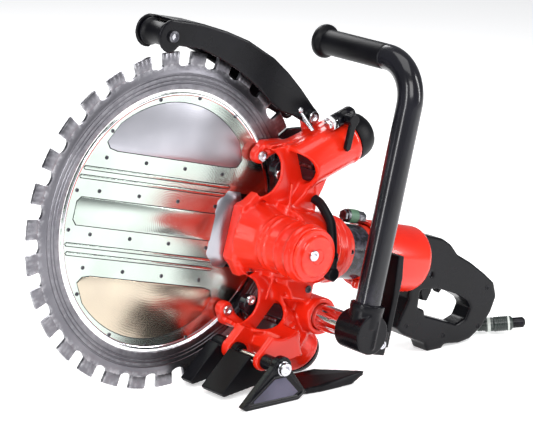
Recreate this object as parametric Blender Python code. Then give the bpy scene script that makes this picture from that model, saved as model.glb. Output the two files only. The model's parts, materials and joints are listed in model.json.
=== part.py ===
"""Hydraulic ring saw for rescue work, as an assembly of separate parts.

Sizes are in millimetres in the machine's own frame: the origin is the centre
of the ring blade, +X points to the rear handle, +Y to the saw's right and +Z up.
MM turns them into metres. An empty tilts the whole machine back until the
blade, the outer splash flap and the rear foot all stand on the ground.
"""
import math

import bmesh
import bpy
from mathutils import Vector
from mathutils.geometry import tessellate_polygon

MM = 0.001
ROUND = 28                 # facets of a large turned part
SMALL = 14                 # facets of a pin, a screw or a hose
GAP = 0.3                  # between parts that touch
RUN = 0.4                  # between parts that turn

# Ring blade
BLADE_RADIUS = 175.0
BLADE_THICKNESS = 4.0
BLADE_BORE = 136.6
GROOVE_RADIUS = 143.5
SEGMENTS = 30
SEGMENT_START = 8.4        # degrees from +X to the first segment
SEGMENT_WIDTH = 20.5
SEGMENT_HEIGHT = 12.0
GULLET_DEPTH = 3.5

# Drive
DRIVE_RADIUS = 30.0
DRIVE_FLANGE = 3.0
DRIVE_WIDTH = 10.0
DRIVE_X = BLADE_BORE - DRIVE_RADIUS - GAP
SHAFT_RADIUS = 6.0
GEAR_TEETH = 10
GEAR_PITCH = 12.0
GEAR_TIP = 13.6
GEAR_ROOT = 9.6
GEAR_FACES = (-46.0, -16.0)
IDLER_X = DRIVE_X + 2 * GEAR_PITCH + RUN
BEARING_RADIUS = 13.0
BEARING_FACES = (-104.0, -94.0)

# Cover casting
WEB_FACES = (-24.0, -12.0)
HUB_RADIUS = 29.0
HUB_FLARE = 40.0
HUB_END = -108.0
COLUMN_FACE = -46.0
WINDOW_RADIUS = 28.0
WINDOW = (110.0, 66.0)
FINGER = (95.0, 82.0)
FINGER_RADIUS = 8.5
FINGER_FACES = (-13.5, -BLADE_THICKNESS / 2 - 0.6)
BOLT_RADIUS = 4.0

# Roller arms
ARM_ANGLE = math.radians(31.5)
ARM_RADIUS = 25.0
ARM_Y = -35.0
ARM_START = 146.0
ARM_END = 220.0
PISTON_RADIUS = 18.7
PISTON_SPAN = (156.0, 184.0)
CARRIER_TRAVEL = 4.0
TONGUE_FACES = (WEB_FACES[0], -14.0)
TONGUE_WIDTH = 10.0
ROLLER_RADIUS = 15.0
ROLLER_WIDTH = 7.3
ROLLER_PIN = 3.0
ROLLER_ALONG = GROOVE_RADIUS + ROLLER_RADIUS
CAP_STEM = 8.0
SPRING_RADIUS = 13.5
SPRING_WIRE = 2.0
POST_ALONG = 197.0
POST_RADIUS = 8.0
BACK_FACES = (10.0, 15.0)

# Centre disc
DISC_RADIUS = 133.5
DISC_THICKNESS = 3.0

# Valve tube along +X
TUBE_Y = -52.0
TUBE_RADIUS = 36.0
TUBE_WALL = 4.5
NECK_RADIUS = 30.0
NECK_START = 165.0
FLANGE_END = 183.0
TUBE_START = 225.0
TUBE_END = 304.0
SPOOL_RADIUS = 6.0

# Rear handle
HANDLE_HALF = 12.0
REAR_FOOT = (364.0, -95.0)
FOOT_SPAN = (353.0, 375.0)
TRIGGER_PIVOT = (332.0, -12.0)
LOCK_PIVOT = (359.0, -14.0)
TRIGGER_THICKNESS = 8.0

# Front handle, which turns on a shaft along Y
HANDLE_AXIS = (177.0, -69.0)
HANDLE_SHAFT_RADIUS = 14.0
HANDLE_LUG_END = -70.0
HANDLE_Y = -131.0
HANDLE_TUBE = 13.5
HANDLE_LEAN = math.radians(1.7)
GRIP_HEIGHT = 210.0
GRIP_END = 12.0
BEND_RADIUS = 44.0

# Blade guard
GUARD_HALF = 20.0
GUARD_WALL = 3.0
GUARD_HINGE = (146.0, 131.0)
GUARD_STATIONS = (         # angle in degrees, inner radius, outer radius
    (106.0, 185.0, 211.0), (97.0, 180.0, 205.5), (88.0, 173.0, 201.5), (79.0, 168.0, 200.0),
    (67.0, 164.0, 199.5), (59.0, 162.5, 199.5), (52.0, 166.0, 200.5), (47.0, 176.0, 202.0),
)
GUARD_ROLLER = (-62.0, 186.0)
GUARD_ROLLER_RADIUS = 17.0

# Splash flaps
FLAP_PIVOT = (97.0, -118.0)
FLAP_TIP_X = 58.0
LUG_FACES = ((-38.0, -26.0), (-84.0, -76.0))

# Water valve on the upper arm
VALVE_ALONG = 212.0
VALVE_ACROSS = 32.0
VALVE_Y = -46.0
VALVE_RADIUS = 8.0

# Supply hose
HOSE_RADIUS = 6.2
COUPLING_RADIUS = 8.0

foot_reach = math.hypot(*REAR_FOOT)
REST_TILT = math.asin(BLADE_RADIUS / foot_reach) - math.atan2(-REAR_FOOT[1], REAR_FOOT[0])

RED = ("red_paint", (0.80, 0.045, 0.020), 0.28, 0.0)
BLACK = ("black_plastic", (0.012, 0.012, 0.014), 0.45, 0.0)
BLACK_PAINT = ("black_paint", (0.010, 0.010, 0.013), 0.25, 0.0)
RUBBER = ("black_rubber", (0.014, 0.014, 0.015), 0.65, 0.0)
STEEL = ("bright_steel", (0.62, 0.62, 0.65), 0.22, 1.0)
CHROME = ("chrome", (0.75, 0.75, 0.78), 0.10, 1.0)
BLADE_STEEL = ("blade_steel", (0.38, 0.38, 0.42), 0.35, 1.0)
BRAID = ("braided_hose", (0.55, 0.60, 0.56), 0.50, 0.0)


def ground(x):
    """Height of the ground under machine position x, with the machine at rest."""
    return -(BLADE_RADIUS - x * math.sin(REST_TILT)) / math.cos(REST_TILT)


def arm_point(along, across, side):
    """Machine x and z of a point on a roller arm; across points away from the valve tube."""
    return (along * math.cos(ARM_ANGLE) - across * math.sin(ARM_ANGLE),
            side * (along * math.sin(ARM_ANGLE) + across * math.cos(ARM_ANGLE)))


def arm_direction(side):
    return (math.cos(ARM_ANGLE), 0.0, side * math.sin(ARM_ANGLE))


def circle(centre, radius, steps=ROUND, start=0.0, end=360.0):
    """Outline points of a circle, or of an arc when start and end are given in degrees."""
    full = abs(end - start) >= 360.0
    count = steps if full else steps + 1
    return [(centre[0] + radius * math.cos(math.radians(start + (end - start) * i / steps)),
             centre[1] + radius * math.sin(math.radians(start + (end - start) * i / steps)))
            for i in range(count)]


def mirrored(half):
    """A closed outline from its upper half, mirrored in z = 0."""
    return half + [(x, -z) for x, z in reversed(half) if z > 0]


def turned(profile, centre, direction, steps=ROUND):
    """Solid of revolution. The profile holds (radius, distance along the axis)."""
    axis = Vector(direction).normalized()
    side = axis.orthogonal().normalized()
    up = axis.cross(side)
    closed = profile[0][0] > 0
    points = list(profile)
    flat_start = not closed and points[0][1] == points[1][1]
    flat_end = not closed and points[-1][1] == points[-2][1]
    points = points[flat_start:len(points) - flat_end]
    verts = []
    rings = []
    for radius, along in points:
        base = Vector(centre) + axis * along
        count = steps if radius > 0 else 1
        rings.append(list(range(len(verts), len(verts) + count)))
        for i in range(count):
            angle = 2 * math.pi * i / steps
            verts.append(base + (side * math.cos(angle) + up * math.sin(angle)) * radius)
    faces = []
    if flat_start:
        faces.append(tuple(rings[0]))
    if flat_end:
        faces.append(tuple(rings[-1]))
    pairs = list(zip(rings, rings[1:]))
    if closed:
        pairs.append((rings[-1], rings[0]))
    for a, b in pairs:
        for i in range(steps):
            j = (i + 1) % steps
            if len(a) == 1:
                faces.append((a[0], b[j], b[i]))
            elif len(b) == 1:
                faces.append((a[i], a[j], b[0]))
            else:
                faces.append((a[i], a[j], b[j], b[i]))
    return verts, faces


def rod(centre, direction, low, high, radius, steps=ROUND):
    return turned([(0, low), (radius, low), (radius, high), (0, high)], centre, direction, steps)


def rod_y(point, low, high, radius, steps=ROUND):
    """Rod along Y through machine point (x, z)."""
    return rod((point[0], 0, point[1]), (0, 1, 0), low, high, radius, steps)


def sleeve_y(point, low, high, inner, outer, steps=ROUND):
    profile = [(inner, low), (outer, low), (outer, high), (inner, high)]
    return turned(profile, (point[0], 0, point[1]), (0, 1, 0), steps)


def prism(outline, low, high, holes=()):
    """Outline in x and z, extruded along Y from low to high."""
    loops = [list(outline)] + [list(hole) for hole in holes]
    points = [point for loop in loops for point in loop]
    count = len(points)
    verts = [(x, low, z) for x, z in points] + [(x, high, z) for x, z in points]
    caps = tessellate_polygon([[Vector((x, z, 0)) for x, z in loop] for loop in loops])
    faces = [tuple(cap) for cap in caps] + [tuple(i + count for i in cap) for cap in caps]
    start = 0
    for loop in loops:
        for i in range(len(loop)):
            a = start + i
            b = start + (i + 1) % len(loop)
            faces.append((a, b, b + count, a + count))
        start += len(loop)
    return verts, faces


def box(low, high):
    outline = [(low[0], low[2]), (high[0], low[2]), (high[0], high[2]), (low[0], high[2])]
    return prism(outline, low[1], high[1])


def swept(points, radii, steps=SMALL):
    """Round tube with flat ends through a list of points, with a radius at each."""
    points = [Vector(point) for point in points]
    side = (points[1] - points[0]).orthogonal().normalized()
    verts = []
    for i, point in enumerate(points):
        tangent = (points[min(i + 1, len(points) - 1)] - points[max(i - 1, 0)]).normalized()
        side = (side - tangent * side.dot(tangent)).normalized()
        up = tangent.cross(side)
        for k in range(steps):
            angle = 2 * math.pi * k / steps
            verts.append(point + (side * math.cos(angle) + up * math.sin(angle)) * radii[i])
    faces = [tuple(range(steps)), tuple(range(len(verts) - steps, len(verts)))]
    for i in range(len(points) - 1):
        for k in range(steps):
            a = i * steps + k
            b = i * steps + (k + 1) % steps
            faces.append((a, b, b + steps, a + steps))
    return verts, faces


def curve_through(points, per_span=5):
    """Smooth curve through the given points."""
    ends = [Vector(points[0]) * 2 - Vector(points[1])] + [Vector(p) for p in points]
    ends.append(Vector(points[-1]) * 2 - Vector(points[-2]))
    result = []
    for a, b, c, d in zip(ends, ends[1:], ends[2:], ends[3:]):
        for i in range(per_span):
            t = i / per_span
            result.append(0.5 * (2 * b + (c - a) * t + (2 * a - 5 * b + 4 * c - d) * t ** 2
                                 + (3 * b - a - 3 * c + d) * t ** 3))
    result.append(Vector(points[-1]))
    return result


def wedge(points):
    """Convex solid around its corner points."""
    mesh = bmesh.new()
    for point in points:
        mesh.verts.new(point)
    hull = bmesh.ops.convex_hull(mesh, input=mesh.verts)
    unused = {item for item in hull["geom_interior"] if isinstance(item, bmesh.types.BMVert)}
    bmesh.ops.delete(mesh, geom=list(unused), context="VERTS")
    mesh.verts.index_update()
    verts = [vert.co.copy() for vert in mesh.verts]
    faces = [tuple(vert.index for vert in face.verts) for face in mesh.faces]
    mesh.free()
    return verts, faces


def material(finish):
    name, colour, roughness, metallic = finish
    found = bpy.data.materials.get(name)
    if found:
        return found
    made = bpy.data.materials.new(name)
    made.use_nodes = True
    made.diffuse_color = (*colour, 1.0)
    shader = made.node_tree.nodes["Principled BSDF"]
    shader.inputs["Base Color"].default_value = (*colour, 1.0)
    shader.inputs["Roughness"].default_value = roughness
    shader.inputs["Metallic"].default_value = metallic
    return made


def body(name, solid, pivot):
    """Object from a solid, with its origin at the pivot (machine x, y, z)."""
    verts, faces = solid
    origin = Vector(pivot)
    mesh = bpy.data.meshes.new(name)
    mesh.from_pydata([(Vector(vert) - origin) * MM for vert in verts], [], faces)
    work = bmesh.new()
    work.from_mesh(mesh)
    bmesh.ops.recalc_face_normals(work, faces=work.faces)
    work.to_mesh(mesh)
    work.free()
    made = bpy.data.objects.new(name, mesh)
    made.location = origin * MM
    bpy.context.scene.collection.objects.link(made)
    return made


def combine(target, solid, operation, pivot, solver):
    """Unite a solid with the target, or cut it away, and keep the result as a plain mesh."""
    tool = body("tool", solid, pivot)
    modifier = target.modifiers.new("combine", "BOOLEAN")
    modifier.operation = operation
    modifier.object = tool
    modifier.solver = solver
    graph = bpy.context.evaluated_depsgraph_get()
    result = bpy.data.meshes.new_from_object(target.evaluated_get(graph))
    target.modifiers.clear()
    target.data = result
    bpy.data.objects.remove(tool)


def part(name, finish, solid, steps=(), pivot=(0, 0, 0), solver="EXACT"):
    """One sub-part. Each step is ("UNION" or "DIFFERENCE", solid)."""
    made = body(name, solid, pivot)
    for operation, other in steps:
        combine(made, other, operation, pivot, solver)
    made.data.name = name
    made.data.materials.clear()
    made.data.materials.append(material(finish))
    made.data.shade_smooth()
    made.data.set_sharp_from_angle(angle=math.radians(35))
    return made


def y_pivot(point, y=0.0):
    return (point[0], y, point[1])


def add(*solids):
    return [("UNION", solid) for solid in solids]


def cut(*solids):
    return [("DIFFERENCE", solid) for solid in solids]


def ring_blade():
    """Segmented ring: a flat annulus with a rounded gullet between two segments."""
    pitch = 360.0 / SEGMENTS
    half = math.degrees(SEGMENT_WIDTH / 2 / BLADE_RADIUS)
    root = BLADE_RADIUS - SEGMENT_HEIGHT
    outline = []
    for k in range(SEGMENTS):
        angle = SEGMENT_START + pitch * k
        gullet = pitch - 2 * half
        for radius, offset in (
            (root, -half), (BLADE_RADIUS, -half), (BLADE_RADIUS, 0), (BLADE_RADIUS, half),
            (root, half), (root - GULLET_DEPTH * 0.8, half + gullet * 0.18),
            (root - GULLET_DEPTH, half + gullet * 0.5),
            (root - GULLET_DEPTH * 0.8, half + gullet * 0.82),
        ):
            turn = math.radians(angle + offset)
            outline.append((radius * math.cos(turn), radius * math.sin(turn)))
    bore = circle((0, 0), BLADE_BORE, 72)
    half_width = BLADE_THICKNESS / 2
    part("ring_blade", BLADE_STEEL, prism(outline, -half_width, half_width, [bore]))


def drive_train():
    """Grooved wheel, shaft and gear pair of the hydraulic motor."""
    drive = (DRIVE_X, 0)
    pivot = y_pivot(drive)
    flange = DRIVE_RADIUS + DRIVE_FLANGE
    half = DRIVE_WIDTH / 2
    lip = BLADE_THICKNESS / 2 + RUN
    profile = [(SHAFT_RADIUS + GAP, -half), (flange, -half), (flange, -lip), (DRIVE_RADIUS, -lip + 0.2),
               (DRIVE_RADIUS, lip - 0.2), (flange, lip), (flange, half), (SHAFT_RADIUS + GAP, half)]
    part("drive_wheel", STEEL, turned(profile, pivot, (0, 1, 0), 40), pivot=pivot)
    part("drive_shaft", STEEL, rod_y(drive, HUB_END + 2, half + 4, SHAFT_RADIUS, SMALL), pivot=pivot)
    part("drive_gear", STEEL, gear(drive, 0.0, SHAFT_RADIUS + GAP), pivot=pivot)
    idler = (IDLER_X, 0)
    teeth = gear(idler, 0.5, 0)
    journal = rod_y(idler, GEAR_FACES[0] - 9, GEAR_FACES[1] + 7, 5.0, SMALL)
    part("idler_gear", STEEL, teeth, add(journal), y_pivot(idler))
    bearing = sleeve_y(drive, *BEARING_FACES, SHAFT_RADIUS + GAP, BEARING_RADIUS)
    part("shaft_bearing", STEEL, bearing)


def gear(centre, phase, bore):
    """Spur gear about Y; phase is in tooth pitches."""
    outline = []
    for tooth in range(GEAR_TEETH):
        for offset, radius in ((-8, GEAR_ROOT), (-4, GEAR_TIP), (4, GEAR_TIP), (8, GEAR_ROOT)):
            turn = math.radians((tooth + phase) * 360 / GEAR_TEETH + offset)
            outline.append((centre[0] + radius * math.cos(turn), centre[1] + radius * math.sin(turn)))
    holes = [circle(centre, bore, SMALL)] if bore else []
    return prism(outline, *GEAR_FACES, holes)


def cover_casting():
    """The red casting that carries the motor, the roller arms, the tube and both pivots."""
    outer = arm_point(ARM_END - 3, ARM_RADIUS - 3, 1)
    inner = arm_point(ARM_END - 3, 3 - ARM_RADIUS, 1)
    web = mirrored([(77, 0), (77, 28), (92, 45), (100, 70), (94, 95), arm_point(158, ARM_RADIUS - 1, 1),
                    outer, inner, (168, 66), (NECK_START - 1, 40), (NECK_START - 1, 0)])
    column = mirrored([(116, 0), (112, 70), (124, 92), (152, 90), (164, 76), (161, 62), (150, 30), (150, 0)])
    steps = add(
        prism(column, COLUMN_FACE, WEB_FACES[0] + 1),
        turned([(0, WEB_FACES[0] + 1), (HUB_FLARE - 4, WEB_FACES[0] + 1), (HUB_RADIUS + 2, -42),
                (HUB_RADIUS, -50), (HUB_RADIUS, HUB_END), (0, HUB_END)], (DRIVE_X, 0, 0), (0, 1, 0)),
        rod((0, TUBE_Y, 0), (1, 0, 0), 116, NECK_START, TUBE_RADIUS),
        rod_y(HANDLE_AXIS, HANDLE_LUG_END, WEB_FACES[1] - 4, HANDLE_SHAFT_RADIUS + 6),
    )
    for side in (1, -1):
        arm = rod((0, ARM_Y, 0), arm_direction(side), ARM_START, ARM_END, ARM_RADIUS)
        steps += add(arm)
    block = box((124, -62, -56), (163, WEB_FACES[0], -34))
    edge = mirrored([(77.5, 0), (77.5, 27), (83, 33), (84, 0)])
    shroud = prism(edge, WEB_FACES[1] - 1, -DRIVE_WIDTH / 2 - 1.5)
    steps += add(block, shroud)
    steps += add(*flap_lugs(), guard_lug())
    for side in (1, -1):
        window = circle((WINDOW[0], side * WINDOW[1]), WINDOW_RADIUS)
        steps += cut(prism(window, ARM_Y - ARM_RADIUS - 30, 0))
    for side in (1, -1):
        finger = finger_outline(side)
        steps += add(prism(finger, *FINGER_FACES))
        pocket = rod((0, ARM_Y, 0), arm_direction(side), 140, ARM_END + 1, PISTON_RADIUS + 2 * GAP)
        steps += cut(pocket, prism(tongue_outline(side, 150, TONGUE_WIDTH + 2 * GAP, CARRIER_TRAVEL + 1),
                                   TONGUE_FACES[0] - 8, 0))
        screw = (FINGER[0], side * FINGER[1])
        steps += add(rod_y(screw, FINGER_FACES[1] - 1, -DISC_THICKNESS / 2 - GAP, 6, SMALL))
        steps += cut(rod_y(screw, -40, 0, BOLT_RADIUS + GAP, SMALL))
    for x in (DRIVE_X, IDLER_X):
        steps += cut(rod_y((x, 0), GEAR_FACES[0] - 1, 0, GEAR_TIP + RUN * 2))
    steps += cut(
        rod_y((DRIVE_X, 0), HUB_END - 1, BEARING_FACES[1] + 1, BEARING_RADIUS + GAP),
        rod_y((DRIVE_X, 0), BEARING_FACES[1] - 1, GEAR_FACES[0] + 1, SHAFT_RADIUS + GAP * 2, SMALL),
        rod_y((IDLER_X, 0), GEAR_FACES[0] - 11, GEAR_FACES[0] + 1, 5.0 + GAP * 2, SMALL),
        rod_y(HANDLE_AXIS, HANDLE_LUG_END - 1, HANDLE_LUG_END + 32, HANDLE_SHAFT_RADIUS + GAP),
        rod_y(GUARD_HINGE, -40, 0, BOLT_RADIUS + GAP, SMALL),
        rod_y(FLAP_PIVOT, -100, 0, BOLT_RADIUS + GAP, SMALL),
    )
    # EXACT leaves open edges where bosses and bores share their facets' edges.
    part("cover_casting", RED, prism(web, *WEB_FACES), steps, solver="MANIFOLD")


def finger_outline(side):
    """Tongue of the casting that holds the centre disc."""
    tip = circle((FINGER[0], FINGER[1]), FINGER_RADIUS, 12, 150, 330)
    shape = tip + [(116, 93), (124, 103), (96, 98)]
    return [(x, side * z) for x, z in shape]


def tongue_outline(side, start, width, extra):
    """Slot shape around the roller pin, from start along the arm to past the pin."""
    reach = ROLLER_ALONG + extra
    outline = [arm_point(start, -width, side), arm_point(start, width, side)]
    for i in range(9):
        turn = math.pi * (0.5 - i / 8)
        outline.append(arm_point(reach + width * math.cos(turn), width * math.sin(turn), side))
    return outline


def flap_lugs():
    """Two ears that hold the flap bolt, and the block between them and the lower arm."""
    x, z = FLAP_PIVOT
    ear = circle(FLAP_PIVOT, 11, 12, 130, 300)
    ear += [(x + 20, z - 4), (x + 52, z + 10), (x + 30, z + 34), (x + 4, z + 26)]
    solids = [prism(ear, *faces) for faces in LUG_FACES]
    bridge = [(x + 18, z + 8), (x + 24, z - 2), (x + 50, z + 8), (x + 40, z + 34), (x + 26, z + 38)]
    solids.append(prism(bridge, LUG_FACES[1][0] + 1, LUG_FACES[0][1] + 2))
    return solids


def guard_lug():
    """Ear on the upper arm that the blade guard hinges on."""
    x, z = GUARD_HINGE
    ear = circle(GUARD_HINGE, 8.5, 12, 20, 200) + [arm_point(184, 20, 1), arm_point(206, 20, 1)]
    return prism(ear, -16.0, -8.0)


def covers():
    """Cap on the motor, plate behind its gears, and the screws that hold the centre disc."""
    profile = [(0, HUB_END - GAP), (27, HUB_END - GAP), (27, HUB_END - 4), (21, HUB_END - 5),
               (21, HUB_END - 8), (0, HUB_END - 8)]
    part("hub_cap", RED, turned(profile, (DRIVE_X, 0, 0), (0, 1, 0)))
    plate = (circle((DRIVE_X, 0), GEAR_TIP + 6, 14, 90, 270)
             + circle((IDLER_X, 0), GEAR_TIP + 6, 14, -90, 90))
    holes = [circle((DRIVE_X, 0), SHAFT_RADIUS + 2 * GAP, SMALL), circle((IDLER_X, 0), 5.0 + 2 * GAP, SMALL)]
    part("gear_cover", STEEL, prism(plate, WEB_FACES[1] + GAP, WEB_FACES[1] + 4, holes))
    disc_face = DISC_THICKNESS / 2
    notch = box((DRIVE_X - DRIVE_RADIUS - DRIVE_FLANGE - 3, -5, -39), (DRIVE_X + 60, 5, 39))
    disc_cuts = cut(notch)
    for side in (1, -1):
        disc_cuts += cut(rod_y((FINGER[0], side * FINGER[1]), -5, 5, BOLT_RADIUS + GAP, SMALL))
    disc = rod_y((0, 0), -disc_face, disc_face, DISC_RADIUS, 72)
    part("centre_disc", STEEL, disc, disc_cuts)
    for side, name in ((1, "upper"), (-1, "lower")):
        seat = FINGER_FACES[0] - GAP
        profile = [(0, seat - 3.2), (6.5, seat - 3.2), (6.5, seat), (BOLT_RADIUS, seat),
                   (BOLT_RADIUS, disc_face + 1), (0, disc_face + 1)]
        centre = (FINGER[0], 0, side * FINGER[1])
        part(f"disc_screw_{name}", STEEL, turned(profile, centre, (0, 1, 0), SMALL))


def roller_arm(side, name):
    """Spring-loaded carrier with its roller, the opposite roller, the spring and the end cap."""
    axis = arm_direction(side)
    base = (0, ARM_Y, 0)
    pin = arm_point(ROLLER_ALONG, 0, side)
    tongue = tongue_outline(side, 138, TONGUE_WIDTH, 0)
    nose = rod_y(arm_point(138, 0, side), *TONGUE_FACES, TONGUE_WIDTH, SMALL)
    piston = rod(base, axis, *PISTON_SPAN, PISTON_RADIUS)
    carrier = add(nose, piston) + cut(rod_y(pin, -60, 0, ROLLER_PIN + GAP, SMALL))
    part(f"roller_carrier_{name}", BLACK_PAINT, prism(tongue, *TONGUE_FACES), carrier, y_pivot(pin))
    near = -BLADE_THICKNESS / 2 - RUN
    roller = [(ROLLER_PIN + GAP, near - ROLLER_WIDTH), (10, near - ROLLER_WIDTH), (10, near - 4),
              (ROLLER_RADIUS, near - 3), (ROLLER_RADIUS, near), (ROLLER_PIN + GAP, near)]
    centre = y_pivot(pin)
    part(f"guide_roller_{name}", STEEL, turned(roller, centre, (0, 1, 0)), pivot=centre)
    part(f"guide_pin_{name}", STEEL, rod_y(pin, -50, near - 0.2, ROLLER_PIN, SMALL), pivot=centre)
    back = [(radius, -along) for radius, along in roller]
    part(f"support_roller_{name}", STEEL, turned(back, centre, (0, 1, 0)), pivot=centre)
    post = sleeve_y(arm_point(POST_ALONG, 0, side), ARM_Y + ARM_RADIUS + GAP, BACK_FACES[0] - GAP,
                    3.5, POST_RADIUS, SMALL)
    part(f"spacer_post_{name}", STEEL, post)
    reach = ARM_END + GAP
    if side > 0:
        dome = [(ARM_RADIUS, reach), (ARM_RADIUS, 234), (22.5, 241), (16, 246), (6, 248), (0, 248)]
    else:
        dome = [(ARM_RADIUS, reach), (ARM_RADIUS, 222), (21, 227), (15, 232), (8, 235), (0, 235)]
    stem = [(0, 190), (CAP_STEM, 190), (CAP_STEM, ARM_END - 3), (PISTON_RADIUS, ARM_END - 3),
            (PISTON_RADIUS, reach)]
    part(f"tension_cap_{name}", RUBBER, turned(stem + dome, base, axis))
    low = PISTON_SPAN[1] + CARRIER_TRAVEL + SPRING_WIRE + GAP
    high = ARM_END - 3 - SPRING_WIRE - GAP
    part(f"tension_spring_{name}", STEEL, coil(base, axis, low, high))


def coil(base, axis, low, high, turns=3.5, per_turn=11):
    """Round-wire compression spring around an axis."""
    direction = Vector(axis)
    side = direction.orthogonal().normalized()
    up = direction.cross(side)
    count = int(turns * per_turn)
    points = []
    for i in range(count + 1):
        angle = 2 * math.pi * i / per_turn
        along = low + (high - low) * i / count
        points.append(Vector(base) + direction * along
                      + (side * math.cos(angle) + up * math.sin(angle)) * SPRING_RADIUS)
    return swept(points, [SPRING_WIRE] * len(points), 6)


def back_plate():
    """Plate on the blade's far side with the pins of the support rollers."""
    near = BLADE_THICKNESS / 2 + RUN + 0.2
    pins = []
    half = [(84, 0), (84, 30), (104, 74), (144, 112)] + [
        arm_point(POST_ALONG + 14 * math.cos(math.radians(a)), 14 * math.sin(math.radians(a)), 1)
        for a in (80, 40, 0, -40, -80)] + [(158, 66), (122, 20), (122, 0)]
    holes = []
    for side in (1, -1):
        holes.append(circle(arm_point(POST_ALONG, 0, side), 3.5, SMALL))
        pins += add(rod_y(arm_point(ROLLER_ALONG, 0, side), near, BACK_FACES[1] + 3, ROLLER_PIN, SMALL))
    part("back_plate", BLACK_PAINT, prism(mirrored(half), *BACK_FACES, holes), pins)


def valve_tube():
    """Red tube along +X with the trigger valve inside it."""
    base = (0, TUBE_Y, 0)
    axis = (1, 0, 0)
    start = NECK_START + GAP
    bore = SPOOL_RADIUS + 2 * GAP
    flange = [(14, start), (TUBE_RADIUS, start), (TUBE_RADIUS, FLANGE_END - 3), (TUBE_RADIUS - 3, FLANGE_END),
              (14, FLANGE_END)]
    part("motor_flange", RED, turned(flange, base, axis))
    neck = [(14, FLANGE_END + GAP), (NECK_RADIUS, FLANGE_END + GAP), (NECK_RADIUS, TUBE_START - GAP),
            (14, TUBE_START - GAP)]
    part("tube_neck", RED, turned(neck, base, axis))
    inner = TUBE_RADIUS - TUBE_WALL
    tube = [(inner, TUBE_START), (TUBE_RADIUS - 2, TUBE_START), (TUBE_RADIUS, TUBE_START + 3),
            (TUBE_RADIUS, TUBE_END - 4), (TUBE_RADIUS - 3, TUBE_END), (bore, TUBE_END),
            (bore, TUBE_END - TUBE_WALL), (inner, TUBE_END - TUBE_WALL)]
    part("tube_rear", RED, turned(tube, base, axis))
    block = [(bore, TUBE_START + 30), (inner - GAP, TUBE_START + 30), (inner - GAP, TUBE_END - TUBE_WALL - GAP),
             (bore, TUBE_END - TUBE_WALL - GAP)]
    part("valve_block", STEEL, turned(block, base, axis, SMALL * 2))
    nose = TRIGGER_PIVOT[0] - 6.1
    spool = [(0, TUBE_START + 20), (SPOOL_RADIUS, TUBE_START + 20), (SPOOL_RADIUS, 262), (4, 265), (4, 275),
             (SPOOL_RADIUS, 278), (SPOOL_RADIUS, nose - 5), (3, nose - 0.6), (0, nose - 0.6)]
    part("valve_spool", STEEL, turned(spool, base, axis, SMALL), pivot=(nose, TUBE_Y, 0))
    reach = 7.5
    nipple = [(3, 190), (6, 190), (6, 194), (reach, 194), (reach, 214), (6, 214), (6, 221), (3, 221)]
    part("return_nipple", STEEL, turned(nipple, (0, TUBE_Y, NECK_RADIUS + reach + GAP), axis, 6))


def rear_handle():
    """Closed rear handle in two shells, with the trigger between them."""
    foot = [(x, ground(x)) for x in reversed(FOOT_SPAN)]
    outline = [(TUBE_END + GAP, 30), (338, 28), (352, 23), (366, 13), (390, 6), (415, -4), (434, -13),
               (443, -28), (440, -46), (431, -64), (416, -79), (400, -85), (382, -87), (377, -88)]
    outline += foot + [(346, -89), (330, -86), (311, -82), (297, -75), (300, -62), (306, -42),
                       (TUBE_END + GAP, -33)]
    hole = [(321, -31), (323, -50), (334, -52), (336, -58), (362, -61), (390, -64), (402, -57), (405, -43),
            (398, -37), (379, -31), (349, -27)]
    pocket = [(321, 9), (340, 10), (368, -4), (368, -40), (321, -40)]
    half = TRIGGER_THICKNESS / 2 + GAP * 2
    reach = HANDLE_HALF - 3
    passage = rod((0, TUBE_Y, 0), (1, 0, 0), TUBE_END - 1, 330, SPOOL_RADIUS + 2 * GAP, SMALL)
    shared = cut(prism(pocket, TUBE_Y - half, TUBE_Y + half), passage,
                 rod_y(TRIGGER_PIVOT, -90, 0, 2.5 + GAP, SMALL),
                 rod_y(LOCK_PIVOT, TUBE_Y - reach, TUBE_Y + reach, 2.0 + GAP, SMALL))
    left = prism(outline, TUBE_Y - HANDLE_HALF, TUBE_Y - GAP / 2, [hole])
    right = prism(outline, TUBE_Y + GAP / 2, TUBE_Y + HANDLE_HALF, [hole])
    part("rear_handle_left", BLACK, left, shared)
    part("rear_handle_right", BLACK, right, shared)
    px, pz = TRIGGER_PIVOT
    trigger = [(px - 6.1, pz + 12), (px - 3.5, pz + 7), (px - 5, pz - 3), (px - 3, pz - 14), (px - 1, pz - 24),
               (px + 4, pz - 31), (px + 10, pz - 31), (px + 13, pz - 22), (px + 15, pz - 10), (px + 13, pz + 2),
               (px + 5, pz + 8), (px - 2, pz + 16), (px - 4, pz + 16)]
    faces = (TUBE_Y - TRIGGER_THICKNESS / 2, TUBE_Y + TRIGGER_THICKNESS / 2)
    part("trigger", BLACK, prism(trigger, *faces, [circle(TRIGGER_PIVOT, 2.5 + GAP, SMALL)]),
         pivot=y_pivot(TRIGGER_PIVOT, TUBE_Y))
    lx, lz = LOCK_PIVOT
    lock = [(lx - 4, lz + 4), (lx + 4, lz + 4), (lx + 4, lz - 8), (lx + 2, lz - 15), (lx - 1, lz - 19),
            (lx - 4, lz - 17)]
    trunnion = rod_y(LOCK_PIVOT, TUBE_Y - reach + 1, TUBE_Y + reach - 1, 2.0, SMALL)
    part("trigger_lock", BLACK, prism(lock, *faces), add(trunnion), y_pivot(LOCK_PIVOT, TUBE_Y))
    part("trigger_pin", STEEL, rod_y(TRIGGER_PIVOT, TUBE_Y - reach, TUBE_Y + reach, 2.5, SMALL))


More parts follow.
